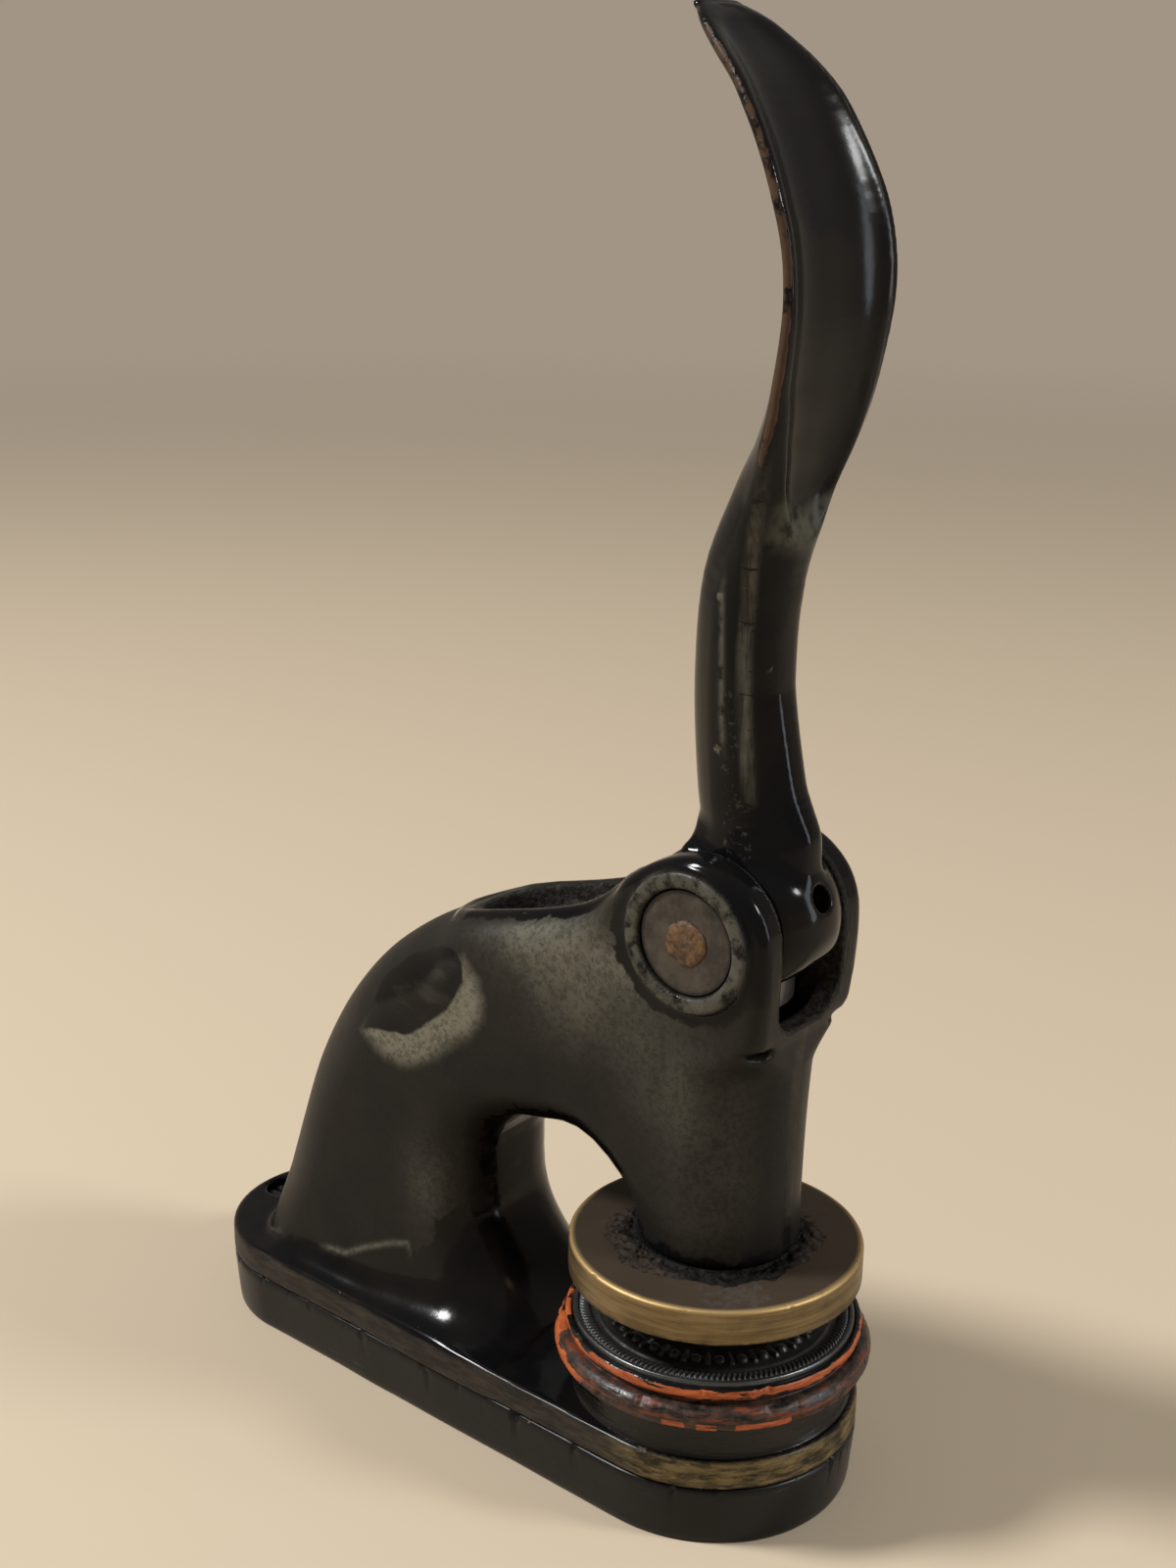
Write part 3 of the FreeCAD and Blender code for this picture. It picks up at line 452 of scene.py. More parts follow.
# The japan has a dull film of dust on the flanks, and stays glossy on the skirt, in the throat and on the
# rims. FILM_EDGE is the film's border in the side view. PATCH was wiped bright behind the opening, and the
# dust that came off it lies along its lower side, inside DUST_EDGE. The table after it is (y, z, reaches,
# share) of paler dust where the flanks and barrel catch the light, partly dust and partly painted sheen.
FILM_EDGE = [(96, 15), (80, 17), (67.5, 18.7), (63.3, 19.2), (59, 21.6), (53.6, 24.1), (50.4, 25.1),
             (48.7, 21.7), (47.6, 25.2), (45.7, 28.6), (44.1, 32), (42, 33.4), (40.6, 32.2), (39.7, 32),
             (39.8, 35.1), (40.3, 40.4), (40.2, 43), (39.6, 45.4), (37.7, 48.8), (33.8, 53), (30.7, 55.1),
             (28.2, 55.5), (25.8, 55.8), (21, 57.2), (17.1, 57.6), (14.1, 55.5), (11.9, 54.3),
             (10.3, 52.3), (8.6, 48), (7.2, 43.7), (5, 42.2), (-16, 41.4), (-16.5, 84), (-13, 84.8),
             (-11.2, 82.6), (-7, 79.9), (-2.2, 78.9), (3.2, 79.6), (7.6, 82.4), (10.6, 86.8), (11.6, 91),
             (11.6, 98), (40, 94), (96, 90)]
PATCH = [(39.4, 77.1), (39.1, 73.9), (40.9, 70.1), (44.1, 66.5), (47.4, 63.9), (50.7, 61.9), (53.7, 61.3),
         (56.3, 60.8), (60.7, 59.7), (58.6, 63.6), (58.1, 67.3), (56, 70.7), (52.1, 74), (45.3, 77.6),
         (41, 78.4)]
DUST_EDGE = [(38.9, 79), (35.7, 75.5), (34.3, 71.9), (34.5, 68.6), (36.9, 65.3), (41.7, 61.5), (45.8, 58.2),
             (49.1, 56.1), (52.5, 55.7), (55.9, 56.1), (59.5, 58), (61.5, 59.4), (56, 66), (46, 73),
             (40.3, 78)]
DUST_AND_SHEEN = [(20, 84.5, 16, 5.5, 0.9), (19, 76, 10, 7, 0.36), (46.5, 37, 4.5, 9, 0.3), (2, 70, 9, 9, 0.28),
           (-6, 56, 8, 13, 0.25)]
MASK_REACH = 6


def add_masks(piece, **masks):
    """Keeps values at the piece's points, which its material reads by name."""
    for name, values in masks.items():
        attribute = piece.data.attributes.new(name, "FLOAT", "POINT")
        attribute.data.foreach_set("value", np.asarray(values, np.float32).ravel())


def mask(name):
    return wire("Attribute", out="Fac", attribute_name=name)


def vertex_places(piece):
    """The piece's points and their normals, in millimetres."""
    count = len(piece.data.vertices)
    places = np.empty(count * 3, np.float32)
    normals = np.empty(count * 3, np.float32)
    piece.data.vertices.foreach_get("co", places)
    piece.data.vertex_normals.foreach_get("vector", normals)
    return places.reshape(-1, 3) / MM, normals.reshape(-1, 3)


def inside_of(outline, y, z):
    """How far inside an outline a point is, up to the masks' reach."""
    return np.clip(-outline_distance(outline, y, z), -MASK_REACH, MASK_REACH)


places, normals = vertex_places(casting)
x, y, z = places.T
sideways = np.abs(normals[:, 0])
border = -outline_distance(FILM_EDGE, y, z)
throat_side = (x > 0) & (y > 5) & (y < 46) & (z < 62)
film = np.where(throat_side, np.minimum(x - 9.5, z - 31), border)
on_rim = 2.4 * capsule_distance(np.abs(x), y, z, RIM_BEAD, 1.7) - 0.6
film = np.where((y > 9) & (y < 50) & (z > 76), np.minimum(film, on_rim), film)
seam = np.exp(-(border / 0.45)**2) * ease(y, 49, 51) * (1 - ease(y, 66, 70)) * (1 - ease(z, 26, 30))
lighter = sum(share * np.exp(-((y - py) / ry)**2 - ((z - pz) / rz)**2) for py, pz, ry, rz, share in DUST_AND_SHEEN)
cored = cuts_distance(x, y, z)[0]
crown = 1 - ease(np.abs(pivot_distance(y, z) - BOSS_RADIUS), 0.9, 1.4)
from_edge = foot_distance(x, y)
flange_edge = (1 - ease(np.abs(from_edge + 0.5), 0.2, 1.0)) * ease(z, FLANGE_TOP - 1.0, FLANGE_TOP - 0.3)
add_masks(casting,
          film=np.clip(film, -MASK_REACH, MASK_REACH),
          seam=seam * ease(sideways, 0.35, 0.75),
          patch=inside_of(PATCH, y, z) * ease(np.abs(x), 1, 4),
          crescent=np.where(sideways > 0.3, inside_of(DUST_EDGE, y, z), -MASK_REACH),
          lighter=lighter * ease(sideways, 0.35, 0.75),
          cored=1 - ease(np.abs(cored), 0.15, 0.7),
          edge=0.3 * flange_edge,
          crown=crown * ease(np.abs(x), 13.4, 13.95),
          band=(1 - ease(-from_edge, 0.2, 0.6)) * (1 - ease(z, FLANGE_TOP - 0.5, FLANGE_TOP)))

BLACK = (0.0036, 0.0037, 0.0045)
BROWN_BLACK = (0.0075, 0.0062, 0.0054)
DUST = (0.020, 0.018, 0.0145)
PALE_DUST_AND_SHEEN = (0.18, 0.168, 0.128)
BARE = (0.15, 0.13, 0.10)
RUST = (0.09, 0.045, 0.022)
JAPAN_SHEEN = 0.15


def japan(film=0.0, edge=0.0, cored=0.0, gloss=(0.08, 0.18), bare=BARE):
    """Old black japan: colour, roughness and normal, from masks for dull film, worn edges and cored iron."""
    cloud = grain(14, 3)
    colour = paint(step(cloud, 0.4, 0.65), BLACK, BROWN_BLACK)
    speck = grain(0.5, 3, seed=2)
    stain = step(grain(9, 5, seed=3), 0.3, 0.7)
    film_share = times(film, level(step(speck, 0.3, 0.7), 0.55, 1.0))
    colour = paint(times(film_share, level(stain, 0.25, 0.6)), colour, DUST)
    dull = level(grain(6, 4, seed=4), 0.36, 0.5)
    roughness = level(film, level(cloud, *gloss), dull)
    scratch = step(grain(3, 5, (0.25, 1.6, 1.6), 5), 0.69, 0.73)
    colour = paint(times(scratch, 0.15), colour, DUST)
    worn = step(sum_of(edge, sum_of(grain(2.2, 6, seed=7), -0.5)), 0.42, 0.56)
    colour = paint(worn, colour, paint(grain(1.2, 4, seed=8), bare, RUST))
    roughness = level(worn, roughness, 0.5)
    grit = grain(0.9, 6, seed=9, rough=0.7)
    pitted = paint(step(grit, 0.35, 0.75), (0.0055, 0.005, 0.0047), (0.058, 0.05, 0.041))
    colour = paint(cored, colour, pitted)
    roughness = level(cored, roughness, 0.55)
    normal = bump(grain(3.2, 3, seed=11), 0.04)
    normal = bump(times(speck, level(film, 0.1, 1.0)), 0.012, normal)
    normal = bump(times(grit, cored), 0.9, normal)
    normal = bump(worn, -0.06, normal)
    return colour, roughness, normal


start_material("japanned_casting")
wander = times(sum_of(grain(4, 6, seed=20), -0.5), 7.0)
film = step(sum_of(mask("film"), wander), -0.5, 0.8)
wiped = step(sum_of(mask("patch"), times(wander, 0.3)), -0.35, 0.35)
film = sum_of(film, wiped, "SUBTRACT")
colour, roughness, normal = japan(film, mask("edge"), mask("cored"))
fine = step(grain(0.8, 5, seed=22, rough=0.7), 0.40, 0.56)
cloudy = step(grain(7, 4, seed=23), 0.25, 0.75)
crescent = step(sum_of(mask("crescent"), times(wander, 0.25)), -0.8, 3.0)
crescent = times(crescent, sum_of(1.0, wiped, "SUBTRACT"))
# Pale dust laid on the film where the flanks and barrel catch the light: partly dust, partly painted sheen.
lighter = times(mask("lighter"), level(cloudy, 0.5, 1.0))
dust_sheen_share = most(crescent, times(lighter, step(film, 0.0, 0.5)))
dust_sheen_share = most(dust_sheen_share, times(mask("seam"), 0.5))
colour = paint(times(dust_sheen_share, level(fine, 0.5, 1.0)), colour, PALE_DUST_AND_SHEEN)
roughness = level(crescent, roughness, 0.55)
smear = times(wiped, step(grain(5, 5, (1, 0.5, 1.4), 24), 0.54, 0.72))
colour = paint(times(smear, 0.1), colour, PALE_DUST_AND_SHEEN)
rubbed = times(mask("crown"), step(grain(2.4, 6, seed=27, rough=0.65), 0.36, 0.54))
iron = paint(grain(1.6, 5, seed=28), (0.035, 0.032, 0.026), (0.12, 0.115, 0.09))
colour = paint(rubbed, colour, iron)
roughness = level(rubbed, roughness, 0.42)
normal = bump(times(grain(1.3, 5, seed=29), rubbed), 0.15, normal)
mottle = grain(2.2, 7, (0.45, 0.45, 2.0), 25, 0.7)
gold = paint(step(mottle, 0.4, 0.62), (0.022, 0.018, 0.011), (0.18, 0.13, 0.055))
brown = paint(step(mottle, 0.35, 0.7), (0.014, 0.012, 0.011), (0.05, 0.04, 0.031))
band_colour = paint(step(sum_of(coordinate("Y"), wander), 6, -6), brown, gold)
ragged = sum_of(coordinate("Z"), times(grain(1.5, 5, seed=26), 2.0))
band = times(mask("band"), step(ragged, PLINTH_TOP + 1.0, PLINTH_TOP + 1.6))
colour = paint(band, colour, band_colour)
roughness = level(band, roughness, 0.45)
casting.data.materials.append(finish_material(colour, roughness, normal, specular=JAPAN_SHEEN))


# Die bed: the round at the front of the casting, turned to take the lower die, with a bead and a collar.
# Its black has rubbed through to the red lead under it on the collar and along the bead. Its profile is
# (radius, height), and the worn dashes are (first degree, last degree, lowest, highest).
BED_RADIUS = 21.0
BEAD_OUT, BEAD_HALF, BEAD_HEIGHT = 24.17, 2.0, 22.2
BED_PROFILE = [(20.6, 13.6), (21.7, 14.3), (21.45, 14.6), (21.2, 15.0), (21.05, 15.8), (BED_RADIUS, 17),
               (BED_RADIUS, 18.4), (21.05, 19.3), (21.3, 19.9)]
BED_PROFILE += [(BEAD_OUT - BEAD_HALF + BEAD_HALF * math.cos(a), BEAD_HEIGHT + BEAD_HALF * math.sin(a))
                for a in np.linspace(-2.0, 1.75, 19)]
BED_PROFILE += [(21.75, 24.35), (21.85, 24.75), (22.2, 24.95), (22.5, 25.2), (22.6, 25.6), (22.6, 26.2),
                (22.5, 26.5), (22.25, 26.68), (21.95, 26.7), (21.7, 26.6), (21.6, 26.3), (21.6, 25),
                (21.6, 23.5), (20.6, 23.5)]
DASHES = [(-73, -64.5, 20.9, 22.3), (-60.5, -53, 20.8, 22.1), (-47, -26, 20.8, 22.3)]
ARC_RADIUS = 22


def turned_piece(name, profile, wobble, count=720, closed=True):
    """A piece turned about the ram's axis from (radius, height) points; wobble moves its points a little."""
    angle = np.tile(np.arange(count) * 2 * math.pi / count, len(profile))
    radius, height = np.repeat(np.array(profile, float), count, axis=0).T
    points = np.column_stack([radius * np.sin(angle), -radius * np.cos(angle), height])
    outward, upward = wobble(points, radius, height, angle)
    radius = radius + outward
    points = np.column_stack([radius * np.sin(angle), -radius * np.cos(angle), height + upward])
    faces = ring_faces(len(profile), count, capped=not closed)
    if closed:
        last = (len(profile) - 1) * count
        faces += [[last + j, last + (j + 1) % count, (j + 1) % count, j] for j in range(count)]
    return new_piece(name, points, faces)


def bed_wobble(points, radius, height, angle):
    upper = ease(height, 19.5, 21) * ease(radius, 21.6, 22)
    rough = 0.10 * ripple(points * (1, 1, 2.5), 3.0, 50) + 0.05 * ripple(points, 0.9, 51)
    chips = -0.5 * np.maximum(ripple(points * (1, 1, 1.5), 3.5, 52) - 0.72, 0)
    smooth = 0.02 * (1 - upper) * ripple(points, 5, 53)
    return np.minimum(upper * (rough + chips), 0.0) + smooth, 0 * radius


bed = turned_piece("die_bed", BED_PROFILE, bed_wobble)
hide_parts("frame")
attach(bed, "base")
x, y, z = vertex_places(bed)[0].T
turn = np.degrees(np.arctan2(x, -y))
collar = ease(z, 25.0, 25.35) * (1 - ease(z, 26.45, 26.66)) * (1 - 0.35 * ease(np.abs(turn + 125), 40, 10))
dashes = np.zeros(len(z))
for start, end, low, high in DASHES:
    across = np.minimum((turn - start) * 0.4, (end - turn) * 0.4)
    dashes = np.maximum(dashes, ease(np.minimum(across, np.minimum(z - low, high - z)), -0.08, 0.12))
flank = ease(turn, -170, -140) * (1 - ease(turn, -112, -104)) * ease(z, 20.8, 21.3)
flank = flank * (1 - ease(z, 22.6, 23.6) * ease(turn, -150, -120))
add_masks(bed,
          red_lead=np.maximum(np.maximum(collar, dashes * 1.1), flank),
          arc=np.radians(turn) * ARC_RADIUS,
          scuffed=ease(z, 20.4, 21.0) * (1 - ease(z, 24.9, 25.3)) * (1 - dashes))


def run_round(along, up):
    """The place round a turned piece and up it, stretched along both."""
    run = wire("CombineXYZ", {"X": mask("arc"), "Y": 0.0, "Z": coordinate("Z")})
    return wire("Mapping", {"Vector": run, "Scale": (along, 1, up)})


start_material("red_lead_under_japan")
streaked = run_round(0.28, 1.7)
streaks = grain(1.3, 6, seed=30, at=streaked)
colour, roughness, normal = japan(film=0.25)
umber = step(grain(1.6, 7, seed=31, rough=0.7), 0.35, 0.7)
umber = paint(umber, (0.016, 0.012, 0.010), (0.075, 0.042, 0.030))
umber = paint(step(streaks, 0.50, 0.62), umber, (0.15, 0.036, 0.016))
scuff = times(mask("scuffed"), step(streaks, 0.34, 0.5))
colour = paint(scuff, colour, umber)
lead = step(grain(1.1, 6, seed=32, at=streaked), 0.35, 0.65)
lead = paint(lead, (0.30, 0.062, 0.018), (0.50, 0.125, 0.034))
share = sum_of(mask("red_lead"), times(sum_of(streaks, -0.54), 3.4))
share = step(share, 0.42, 0.56)
colour = paint(share, colour, lead)
roughness = level(most(share, scuff), roughness, 0.42)
normal = bump(streaks, 0.2, normal)
normal = bump(share, -0.07, normal)
bed.data.materials.append(finish_material(colour, roughness, normal, specular=0.3))


# Lower die: an engraved steel disc screwed in the bed. Its rope border, pearls, bars and star stand up
# from a sunk field, so that the paper is pressed over them; the field is black with old wax.
DIE_RIM = 27.4
DIE_FIELD = 26.85
SEAL_RADIUS = 20.65
ROPE_IN, ROPE_OUT, ROPE_TURNS = 18.7, 20.6, 156
PEARL_RING, PEARL_RADIUS, PEARL_COUNT = 15.0, 0.9, 28
PEARL_PITCH = 2 * math.pi / PEARL_COUNT
STAR = [(r * math.sin(math.pi * i / 8), r * math.cos(math.pi * i / 8)) for i, r in enumerate([9.5, 4.2] * 8)]
SEAL_RINGS = [*np.arange(20.6, 18.5, -0.13), *np.arange(18.4, 12.6, -0.2), *np.arange(12.4, 10.0, -0.25),
              *np.arange(9.9, 0.4, -0.4)]


def thin_ring(radius, middle, half, soft):
    return 0.3 * (1 - ease(np.abs(radius - middle), half, soft))


def seal_relief(x, y):
    """How far the seal's design stands up from its field, in millimetres."""
    radius = np.hypot(x, y)
    angle = np.arctan2(x, -y)
    across = (radius - (ROPE_IN + ROPE_OUT) / 2) / ((ROPE_OUT - ROPE_IN) / 2)
    strand = 0.5 + 0.5 * np.cos(ROPE_TURNS * angle + 2.6 * across)
    rope = np.sqrt(np.clip(1 - across**2, 0, 1)) * (0.34 + 0.42 * strand)
    turns = angle / PEARL_PITCH
    off_pearl = (turns - np.round(turns)) * PEARL_PITCH * 14.5
    pearl = 1 - (off_pearl**2 + (radius - PEARL_RING)**2) / PEARL_RADIUS**2
    off_bar = (turns - np.floor(turns) - 0.5) * PEARL_PITCH * 14.5
    bar = np.maximum(np.abs(off_bar) - 0.28, np.abs(radius - 14.9) - 1.3)
    star = ease(-outline_distance(STAR, x, y), -0.1, 1.3) * (0.7 + 0.3 * np.cos(8 * angle))
    return np.maximum.reduce([rope, thin_ring(radius, 17.7, 0.1, 0.35), 0.75 * np.sqrt(np.clip(pearl, 0, 1)),
                              0.6 * (1 - ease(bar, -0.12, 0.14)), 0.7 * star,
                              thin_ring(radius, 11.6, 0.1, 0.3)])


def lower_die_wobble(points, radius, height, angle):
    top = (radius < SEAL_RADIUS) & (height > 25)
    relief = seal_relief(points[:, 0], points[:, 1]) + 0.02 * ripple(points, 1.4, 60)
    return 0 * radius, np.where(top, relief, 0)


profile = [(18, 23.5), (21.2, 23.5), (21.45, 23.7), (21.45, 27.1), (21.35, 27.32), (21.15, DIE_RIM),
           (20.85, DIE_RIM), (20.68, 27.25)]
profile += [(radius, DIE_FIELD) for radius in SEAL_RINGS]
lower_die = turned_piece("engraved_lower_die", profile, lower_die_wobble, 1248, closed=False)
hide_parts("lower_die")
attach(lower_die, "base")
x, y, z = vertex_places(lower_die)[0].T
add_masks(lower_die, relief=np.where(np.hypot(x, y) < SEAL_RADIUS, z - DIE_FIELD, 0.75))

start_material("waxed_die_steel")
rubbed = step(sum_of(mask("relief"), times(grain(1.5, 5, seed=62), 0.35)), 0.62, 0.95)
steel = paint(grain(1.2, 5, seed=61), (0.05, 0.052, 0.055), (0.16, 0.165, 0.165))
colour = paint(grain(3, 5, seed=60), (0.010, 0.010, 0.011), (0.026, 0.023, 0.02))
colour = paint(rubbed, colour, steel)
roughness = level(rubbed, level(grain(1.6, 5, seed=63), 0.25, 0.5), 0.3)
metallic = level(rubbed, 0.0, 0.85)
normal = bump(grain(0.5, 5, seed=64), 0.03)
lower_die.data.materials.append(finish_material(colour, roughness, normal, metallic))


# Ram: a ground steel bar in the barrel's bore, held up by a coiled spring under the tappet that is pinned
# to its neck. The dowels and the die's shank and screws are plain steel too, all dark with old oil.
STEEL_NODES = ["ram", "tappet", "tappet_pin", "die_shank", "upper_die_pin", "lower_die_pin",
               "lower_die_screw", "spring_seat"]


def dress(names, material):
    """Gives CAD nodes a finish, with their shapes as they are."""
    for name in names:
        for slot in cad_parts[name].material_slots:
            slot.link = "OBJECT"
            slot.material = material


def oiled_steel(name, dark, bright, rust, rough=(0.22, 0.42)):
    """Steel from a dark to a bright tone, with rust spots where the noise is within the range of rust."""
    start_material(name)
    colour = paint(grain(2.2, 6, seed=70), dark, bright)
    stain = step(grain(1.6, 7, seed=71, rough=0.65), *rust)
    spots = paint(grain(0.5, 4, seed=72), (0.035, 0.018, 0.009), (0.15, 0.07, 0.03))
    colour = paint(stain, colour, spots)
    roughness = level(stain, level(grain(1.5, 5, (1, 1, 6), 73), *rough), 0.68)
    metallic = level(stain, 0.9, 0.1)
    normal = bump(grain(0.7, 4, (1, 1, 5), 74), 0.012)
    normal = bump(times(stain, grain(0.6, 5, seed=75)), 0.08, normal)
    return finish_material(colour, roughness, normal, metallic)


dress(STEEL_NODES, oiled_steel("oiled_steel", (0.10, 0.095, 0.09), (0.27, 0.26, 0.25), (0.60, 0.72)))


# Return spring: round steel wire wound between its seat and the tappet, with the end coils closed up. It
# lifts the ram, and closes as the ram goes down; here it is one fixed mesh on the base, at the CAD spring's
# length.
SPRING_LOW, SPRING_HIGH = (corner[2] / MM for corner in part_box("return_spring"))
SPRING_RADIUS, WIRE_RADIUS, SPRING_COILS = 6.9, 0.69, 8
END_TURN, END_RISE = 0.6, 0.045
TURN_POINTS, WIRE_POINTS = 40, 12
turns = np.linspace(0, SPRING_COILS, SPRING_COILS * TURN_POINTS + 1)
climb = np.interp(turns, [0, END_TURN, SPRING_COILS - END_TURN, SPRING_COILS], [0, END_RISE, 1 - END_RISE, 1])
wire_height = SPRING_LOW + WIRE_RADIUS + (SPRING_HIGH - SPRING_LOW - 2 * WIRE_RADIUS) * climb
around = np.linspace(0, 2 * math.pi, WIRE_POINTS, endpoint=False)
radius = SPRING_RADIUS + WIRE_RADIUS * np.cos(around)
rings = []
for turn, height in zip(turns * 2 * math.pi, wire_height):
    section = height + WIRE_RADIUS * np.sin(around)
    rings.append(np.column_stack([radius * math.cos(turn), radius * math.sin(turn), section]))
faces = ring_faces(len(rings), WIRE_POINTS, capped=True)
spring = new_piece("wound_spring", np.concatenate(rings), faces)
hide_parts("return_spring")
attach(spring, "base")
spring_steel = oiled_steel("spring_steel", (0.05, 0.047, 0.045), (0.16, 0.15, 0.14), (0.58, 0.7))
spring.data.materials.append(spring_steel)
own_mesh(spring)


# Upper die: a turned brass disc on the ram's end, with the seal sunk in its face. Its top has gone brown,
# its edge is bright where hands rub it, and its side shows the lathe's lines.
BRASS_LOW, BRASS_TOP, BRASS_RADIUS = 33.9, 39.4, 22.25
SEAL_DEPTH = 0.4
profile = [(radius, BRASS_LOW + SEAL_DEPTH) for radius in SEAL_RINGS[::-1]]
profile += [(20.8, 33.95), (21.0, BRASS_LOW), (21.9, BRASS_LOW), (22.12, 33.97), (22.23, 34.12)]
profile += [(BRASS_RADIUS, height) for height in (34.4, 35.5, 36.6, 37.8, 38.8)]
profile += [(22.2, 39.02), (22.08, 39.2), (21.9, 39.33)]
profile += [(radius, BRASS_TOP) for radius in (21.65, 21.2, 19, 16, 12, 5.0)]


def brass_wobble(points, radius, height, angle):
    sunk = (radius < SEAL_RADIUS) & (height < 35)
    dents = -0.22 * np.maximum(ripple(points, 2.5, 80, 2) - 0.85, 0)
    dents = dents * ease(radius, 21.9, 22.2) * ease(height, 38, 39)
    return dents, np.where(sunk, 0.8 * seal_relief(points[:, 0], points[:, 1]), 0)


brass_die = turned_piece("brass_upper_die", profile, brass_wobble, 936, closed=False)
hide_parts("upper_die")
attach(brass_die, "ram_slider")
x, y, z = vertex_places(brass_die)[0].T
radius = np.hypot(x, y)
crumbs = 1 - ease(np.hypot(x + 12.5, y + 12), 4, 9) + 0.7 * (1 - ease(np.hypot(x - 8, y + 16), 2, 5))
add_masks(brass_die,
          arc=np.arctan2(x, -y) * ARC_RADIUS,
          side=ease(radius, 21.9, 22.2),
          rim=ease(radius, 21.45, 21.85) * ease(z, 38.75, 39.05),
          under=1 - ease(z, 34.0, 34.6),
          crumbs=crumbs * ease(z, 39.3, 39.39))

start_material("browned_brass")
lathe = run_round(0.12, 3.2)
lines = grain(1.2, 6, seed=81, at=lathe)
patina = grain(7, 6, seed=82)
brown = paint(patina, (0.036, 0.025, 0.016), (0.062, 0.042, 0.026))
brown = paint(times(step(grain(3, 6, seed=83), 0.62, 0.75), 0.5), brown, (0.10, 0.06, 0.03))
golden = paint(step(lines, 0.36, 0.64), (0.15, 0.105, 0.052), (0.27, 0.20, 0.105))
golden = paint(times(step(patina, 0.45, 0.7), 0.6), golden, (0.10, 0.072, 0.04))
dark_line = step(grain(0.9, 5, seed=84, at=lathe), 0.66, 0.74)
golden = paint(times(dark_line, 0.7), golden, (0.05, 0.035, 0.02))
colour = paint(mask("side"), brown, golden)
bright = times(mask("rim"), step(grain(5, 5, seed=85), 0.25, 0.45))
colour = paint(bright, colour, (0.45, 0.31, 0.14))
# The die's face and the foot of its side are a duller, darker brass: partly tarnish, partly painted shade
# under the disc.
dull = paint(step(grain(2, 5, seed=86), 0.4, 0.6), (0.03, 0.022, 0.014), (0.16, 0.11, 0.05))
colour = paint(mask("under"), colour, dull)
grey = step(sum_of(times(mask("crumbs"), 0.42), grain(1.4, 7, seed=87, rough=0.75)), 0.86, 1.0)
colour = paint(times(grey, 0.35), colour, (0.10, 0.092, 0.08))
metallic = level(most(mask("side"), bright), 0.25, 0.85)
roughness = level(mask("side"), level(patina, 0.55, 0.72), level(lines, 0.34, 0.5))
roughness = level(grey, roughness, 0.6)
normal = bump(times(lines, mask("side")), 0.035)
normal = bump(grain(2.4, 5, seed=88), 0.02, normal)
normal = bump(grey, 0.05, normal)
brass_die.data.materials.append(finish_material(colour, roughness, normal, metallic, 0.3))


# Buffer: a leather washer on the brass that softens the ram's return. It has been crushed under the
# barrel and has spread in a ragged black ring of old leather, oil and dirt.
BUFFER_LOW = BRASS_TOP - 0.2
BUFFER_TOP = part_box("buffer_washer")[1][2] / MM
BUFFER_RINGS = [8, 11, *np.arange(12, 20, 0.17)]
BARREL_EDGE = 12.3


def ragged_edge(angle):
    """How far out the crushed leather has spread, round the ram."""
    ring = np.column_stack([np.cos(angle), np.sin(angle), 0 * angle]) * 14
    spread = 14.5 + 0.8 * ripple(ring, 9, 90, 2) + 0.35 * ripple(ring, 2.2, 91, 2)
    rear_left = np.maximum(np.cos(angle - math.radians(-130)), 0)**6 * 3.2
    right = np.maximum(np.cos(angle - math.radians(35)), 0)**10 * 1.6
    return spread + rear_left + right


def buffer_wobble(points, radius, height, angle):
    spread = ragged_edge(angle)
    folds = np.clip(1 - np.abs(ripple(points * (1, 1, 0), 2.6, 92, 3)), 0, 1)
    thick = BUFFER_TOP - BRASS_TOP
    crushed = thick * (1 - ease(radius, spread - 2.2, spread + 0.3))
    crushed = crushed * np.where(radius > BARREL_EDGE, 0.25 + 0.75 * folds, 1)
    return 0 * radius, np.where(height > BRASS_TOP + 0.05, crushed - thick - 0.04, 0)


profile = [(5.2, BUFFER_LOW), (5.2, BUFFER_TOP)] + [(radius, BUFFER_TOP) for radius in BUFFER_RINGS]
profile += [(20.1, BUFFER_LOW)]
buffer = turned_piece("crushed_leather", profile, buffer_wobble, 600)
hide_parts("buffer_washer")
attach(buffer, "ram_slider")
x, y, z = vertex_places(buffer)[0].T
# The brown fringe keeps a ragged line of its own, a quarter turn from the edge's.
spread = ragged_edge(np.arctan2(y, x))
add_masks(buffer, fringe=ease(np.hypot(x, y), spread - 2.6, spread - 0.2))

start_material("oil_soaked_leather")
folds = grain(1.1, 7, seed=93, rough=0.7)
colour = paint(step(folds, 0.45, 0.8), (0.003, 0.0027, 0.0025), (0.014, 0.0115, 0.010))
faded = times(mask("fringe"), step(grain(1.2, 6, seed=96, rough=0.7), 0.36, 0.56))
colour = paint(faded, colour, (0.036, 0.026, 0.018))
crumb = step(grain(0.7, 6, seed=94, rough=0.7), 0.68, 0.75)
colour = paint(times(crumb, 0.5), colour, (0.10, 0.09, 0.075))
roughness = level(grain(1.5, 4, seed=95), 0.3, 0.65)
normal = bump(folds, 0.3)
buffer.data.materials.append(finish_material(colour, roughness, normal, specular=0.12))


